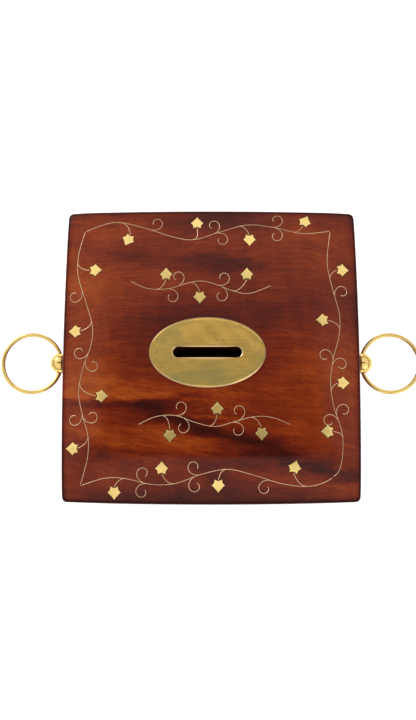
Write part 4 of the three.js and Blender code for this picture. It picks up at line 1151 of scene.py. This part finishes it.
lock = {
    "screwHead": 2 * mm, "screwDome": 0.9 * mm, "linkScrews": (-13 * mm, 4 * mm), "linkScrewHead": 2.1 * mm,
    "linkScrewDome": 0.1 * mm, "linkThick": 11.2 * mm,
}
for node, name, width in (("lock_case", "lockCase", 0.15), ("lock_back_plate", "lockBackPlate", 0.2),
                          ("lock_bolt", "lockBolt", 0.2), ("lock_spring", "lockSpring", 0.05)):
    easedCopy(node, name, lockSteel, width * mm)
easedCopy("lock_link_plate", "lockLinkPlate", hingeBrass, 0.15 * mm)
linkScrews = []
for x in lock["linkScrews"]:
    place = (x, linkY, linkLow.z + lock["linkThick"])
    linkScrews += screw(place, down, lock["linkScrewHead"], lock["linkScrewDome"], dice.uniform(0, math.pi))
makePiece("linkScrews", linkScrews, hingeBrass, "lid")
for word in ("left", "right"):
    low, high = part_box("lock_screw_" + word)
    x, _, z = middleOf(low, high)
    shells = screw((x, high.y - lock["screwDome"], z), bases["inwards"], lock["screwHead"], lock["screwDome"],
                   dice.uniform(0, math.pi))
    makePiece(word + "LockScrew", shells, lockSteel, "box_body", ("lock_screw_" + word,))
print("lock made")


board = {"arris": 0.45 * mm, "baseArris": 0.4 * mm, "lift": 0.4 * mm}
for node, name, wood in (("front_wall", "frontBoard", frontWood), ("back_wall", "backBoard", backWood),
                         ("left_wall", "leftBoard", leftWood), ("right_wall", "rightBoard", rightWood)):
    easedCopy(node, name, wood, board["arris"], board["lift"])
easedCopy("base_panel", "baseBoard", baseWood, board["baseArris"])
print("body made")


ground = {"radius": 6, "drop": 0.2 * mm, "rings": 24, "columns": 96}


# The floor: a flat disc on a polar grid, whose rings widen as the square of their number.
def makeFloor():
    reach = ground["radius"] * np.linspace(0, 1, ground["rings"])[:, None, None] ** 2
    points = raised(circlePoints(reach, roundTurn(ground["columns"])), -ground["drop"])
    vertices = points.reshape(-1, 3)
    faces = gridFaces(ground["rings"], ground["columns"], False)[:, ::-1]
    mesh = bpy.data.meshes.new("studioFloor")
    mesh.from_pydata(vertices.tolist(), [], faces.tolist())
    mesh.materials.append(paleFloor)
    floor = bpy.data.objects.new("studioFloor", mesh)
    bpy.context.scene.collection.objects.link(floor)


makeFloor()

studio = {"bright": 1.14, "gap": 0.1, "gapReach": (0.5, 0.13), "gapBack": 0.035, "gapSoft": (0.6, 1.7),
          "low": 0.38, "lowReach": (0.1, 0.6), "tint": (1.0, 0.975, 0.93, 1), "backdrop": 1.1}


# A pale tent, dimmer towards the horizon, with a soft dark gap overhead from left to right, as between two
# diffusers. The gap is an ellipse in (x / z, y / z) of the direction. Behind the box it's plain and pale.
def makeStudio():
    world = bpy.data.worlds.new("studio")
    bpy.context.scene.world = world
    world.use_nodes = True
    tree = world.node_tree
    place = tree.nodes.new("ShaderNodeTexCoord").outputs["Generated"]
    x, y, z = separated(tree, place)
    rise = calc(tree, "MAXIMUM", z, 0.02)
    across = calc(tree, "DIVIDE", calc(tree, "DIVIDE", x, rise), studio["gapReach"][0])
    back = calc(tree, "SUBTRACT", calc(tree, "DIVIDE", y, rise), studio["gapBack"])
    back = calc(tree, "DIVIDE", back, studio["gapReach"][1])
    away = calc(tree, "SQRT", calc(tree, "ADD", calc(tree, "MULTIPLY", across, across),
                                   calc(tree, "MULTIPLY", back, back)))
    light = eased(tree, away, *studio["gapSoft"], studio["gap"], studio["bright"])
    low = eased(tree, z, *studio["lowReach"], studio["low"], 1)
    light = calc(tree, "MULTIPLY", light, low)
    seen = tree.nodes.new("ShaderNodeLightPath").outputs["Is Camera Ray"]
    light = addNode(tree, "ShaderNodeMix", {0: seen, 2: light, 3: studio["backdrop"]}).outputs[0]
    background = tree.nodes["Background"]
    feed(tree, background, {"Strength": light})
    background.inputs["Color"].default_value = studio["tint"]


makeStudio()


# A soft square light that looks at the box from a direction at a distance.
def softbox(name, azimuth, elevation, distance, size, power):
    light = bpy.data.lights.new(name, "AREA")
    light.size, light.energy = size, power
    a, e = math.radians(azimuth), math.radians(elevation)
    place = np.array([math.sin(a) * math.cos(e), -math.cos(a) * math.cos(e), math.sin(e)]) * distance
    lamp = bpy.data.objects.new(name, light)
    lamp.location = place + (0, 0, 0.06)
    lamp.rotation_euler = mathutils.Vector(-place).to_track_quat("-Z", "Y").to_euler()
    lamp.visible_camera = False
    bpy.context.scene.collection.objects.link(lamp)


softbox("keySoftbox", 225, 26, 1.3, 0.7, 4.0)
softbox("fillSoftbox", 40, 24, 1.5, 0.9, 2.5)

view = {"place": (0, -0.072, 0.5615), "lens": 44.72, "shift": (-0.0046, -0.0107)}
camera = bpy.data.objects.new("camera", bpy.data.cameras.new("camera"))
camera.location = view["place"]
aim = mathutils.Vector((0, 0, lidHigh.z)) - camera.location
camera.rotation_euler = aim.to_track_quat("-Z", "Y").to_euler()
camera.data.lens = view["lens"]
camera.data.sensor_width = 36
camera.data.shift_x, camera.data.shift_y = view["shift"]
camera.data.clip_start = 0.01
bpy.context.scene.collection.objects.link(camera)
bpy.context.scene.camera = camera
bpy.context.scene.view_settings.view_transform = "Standard"
print("studio made")
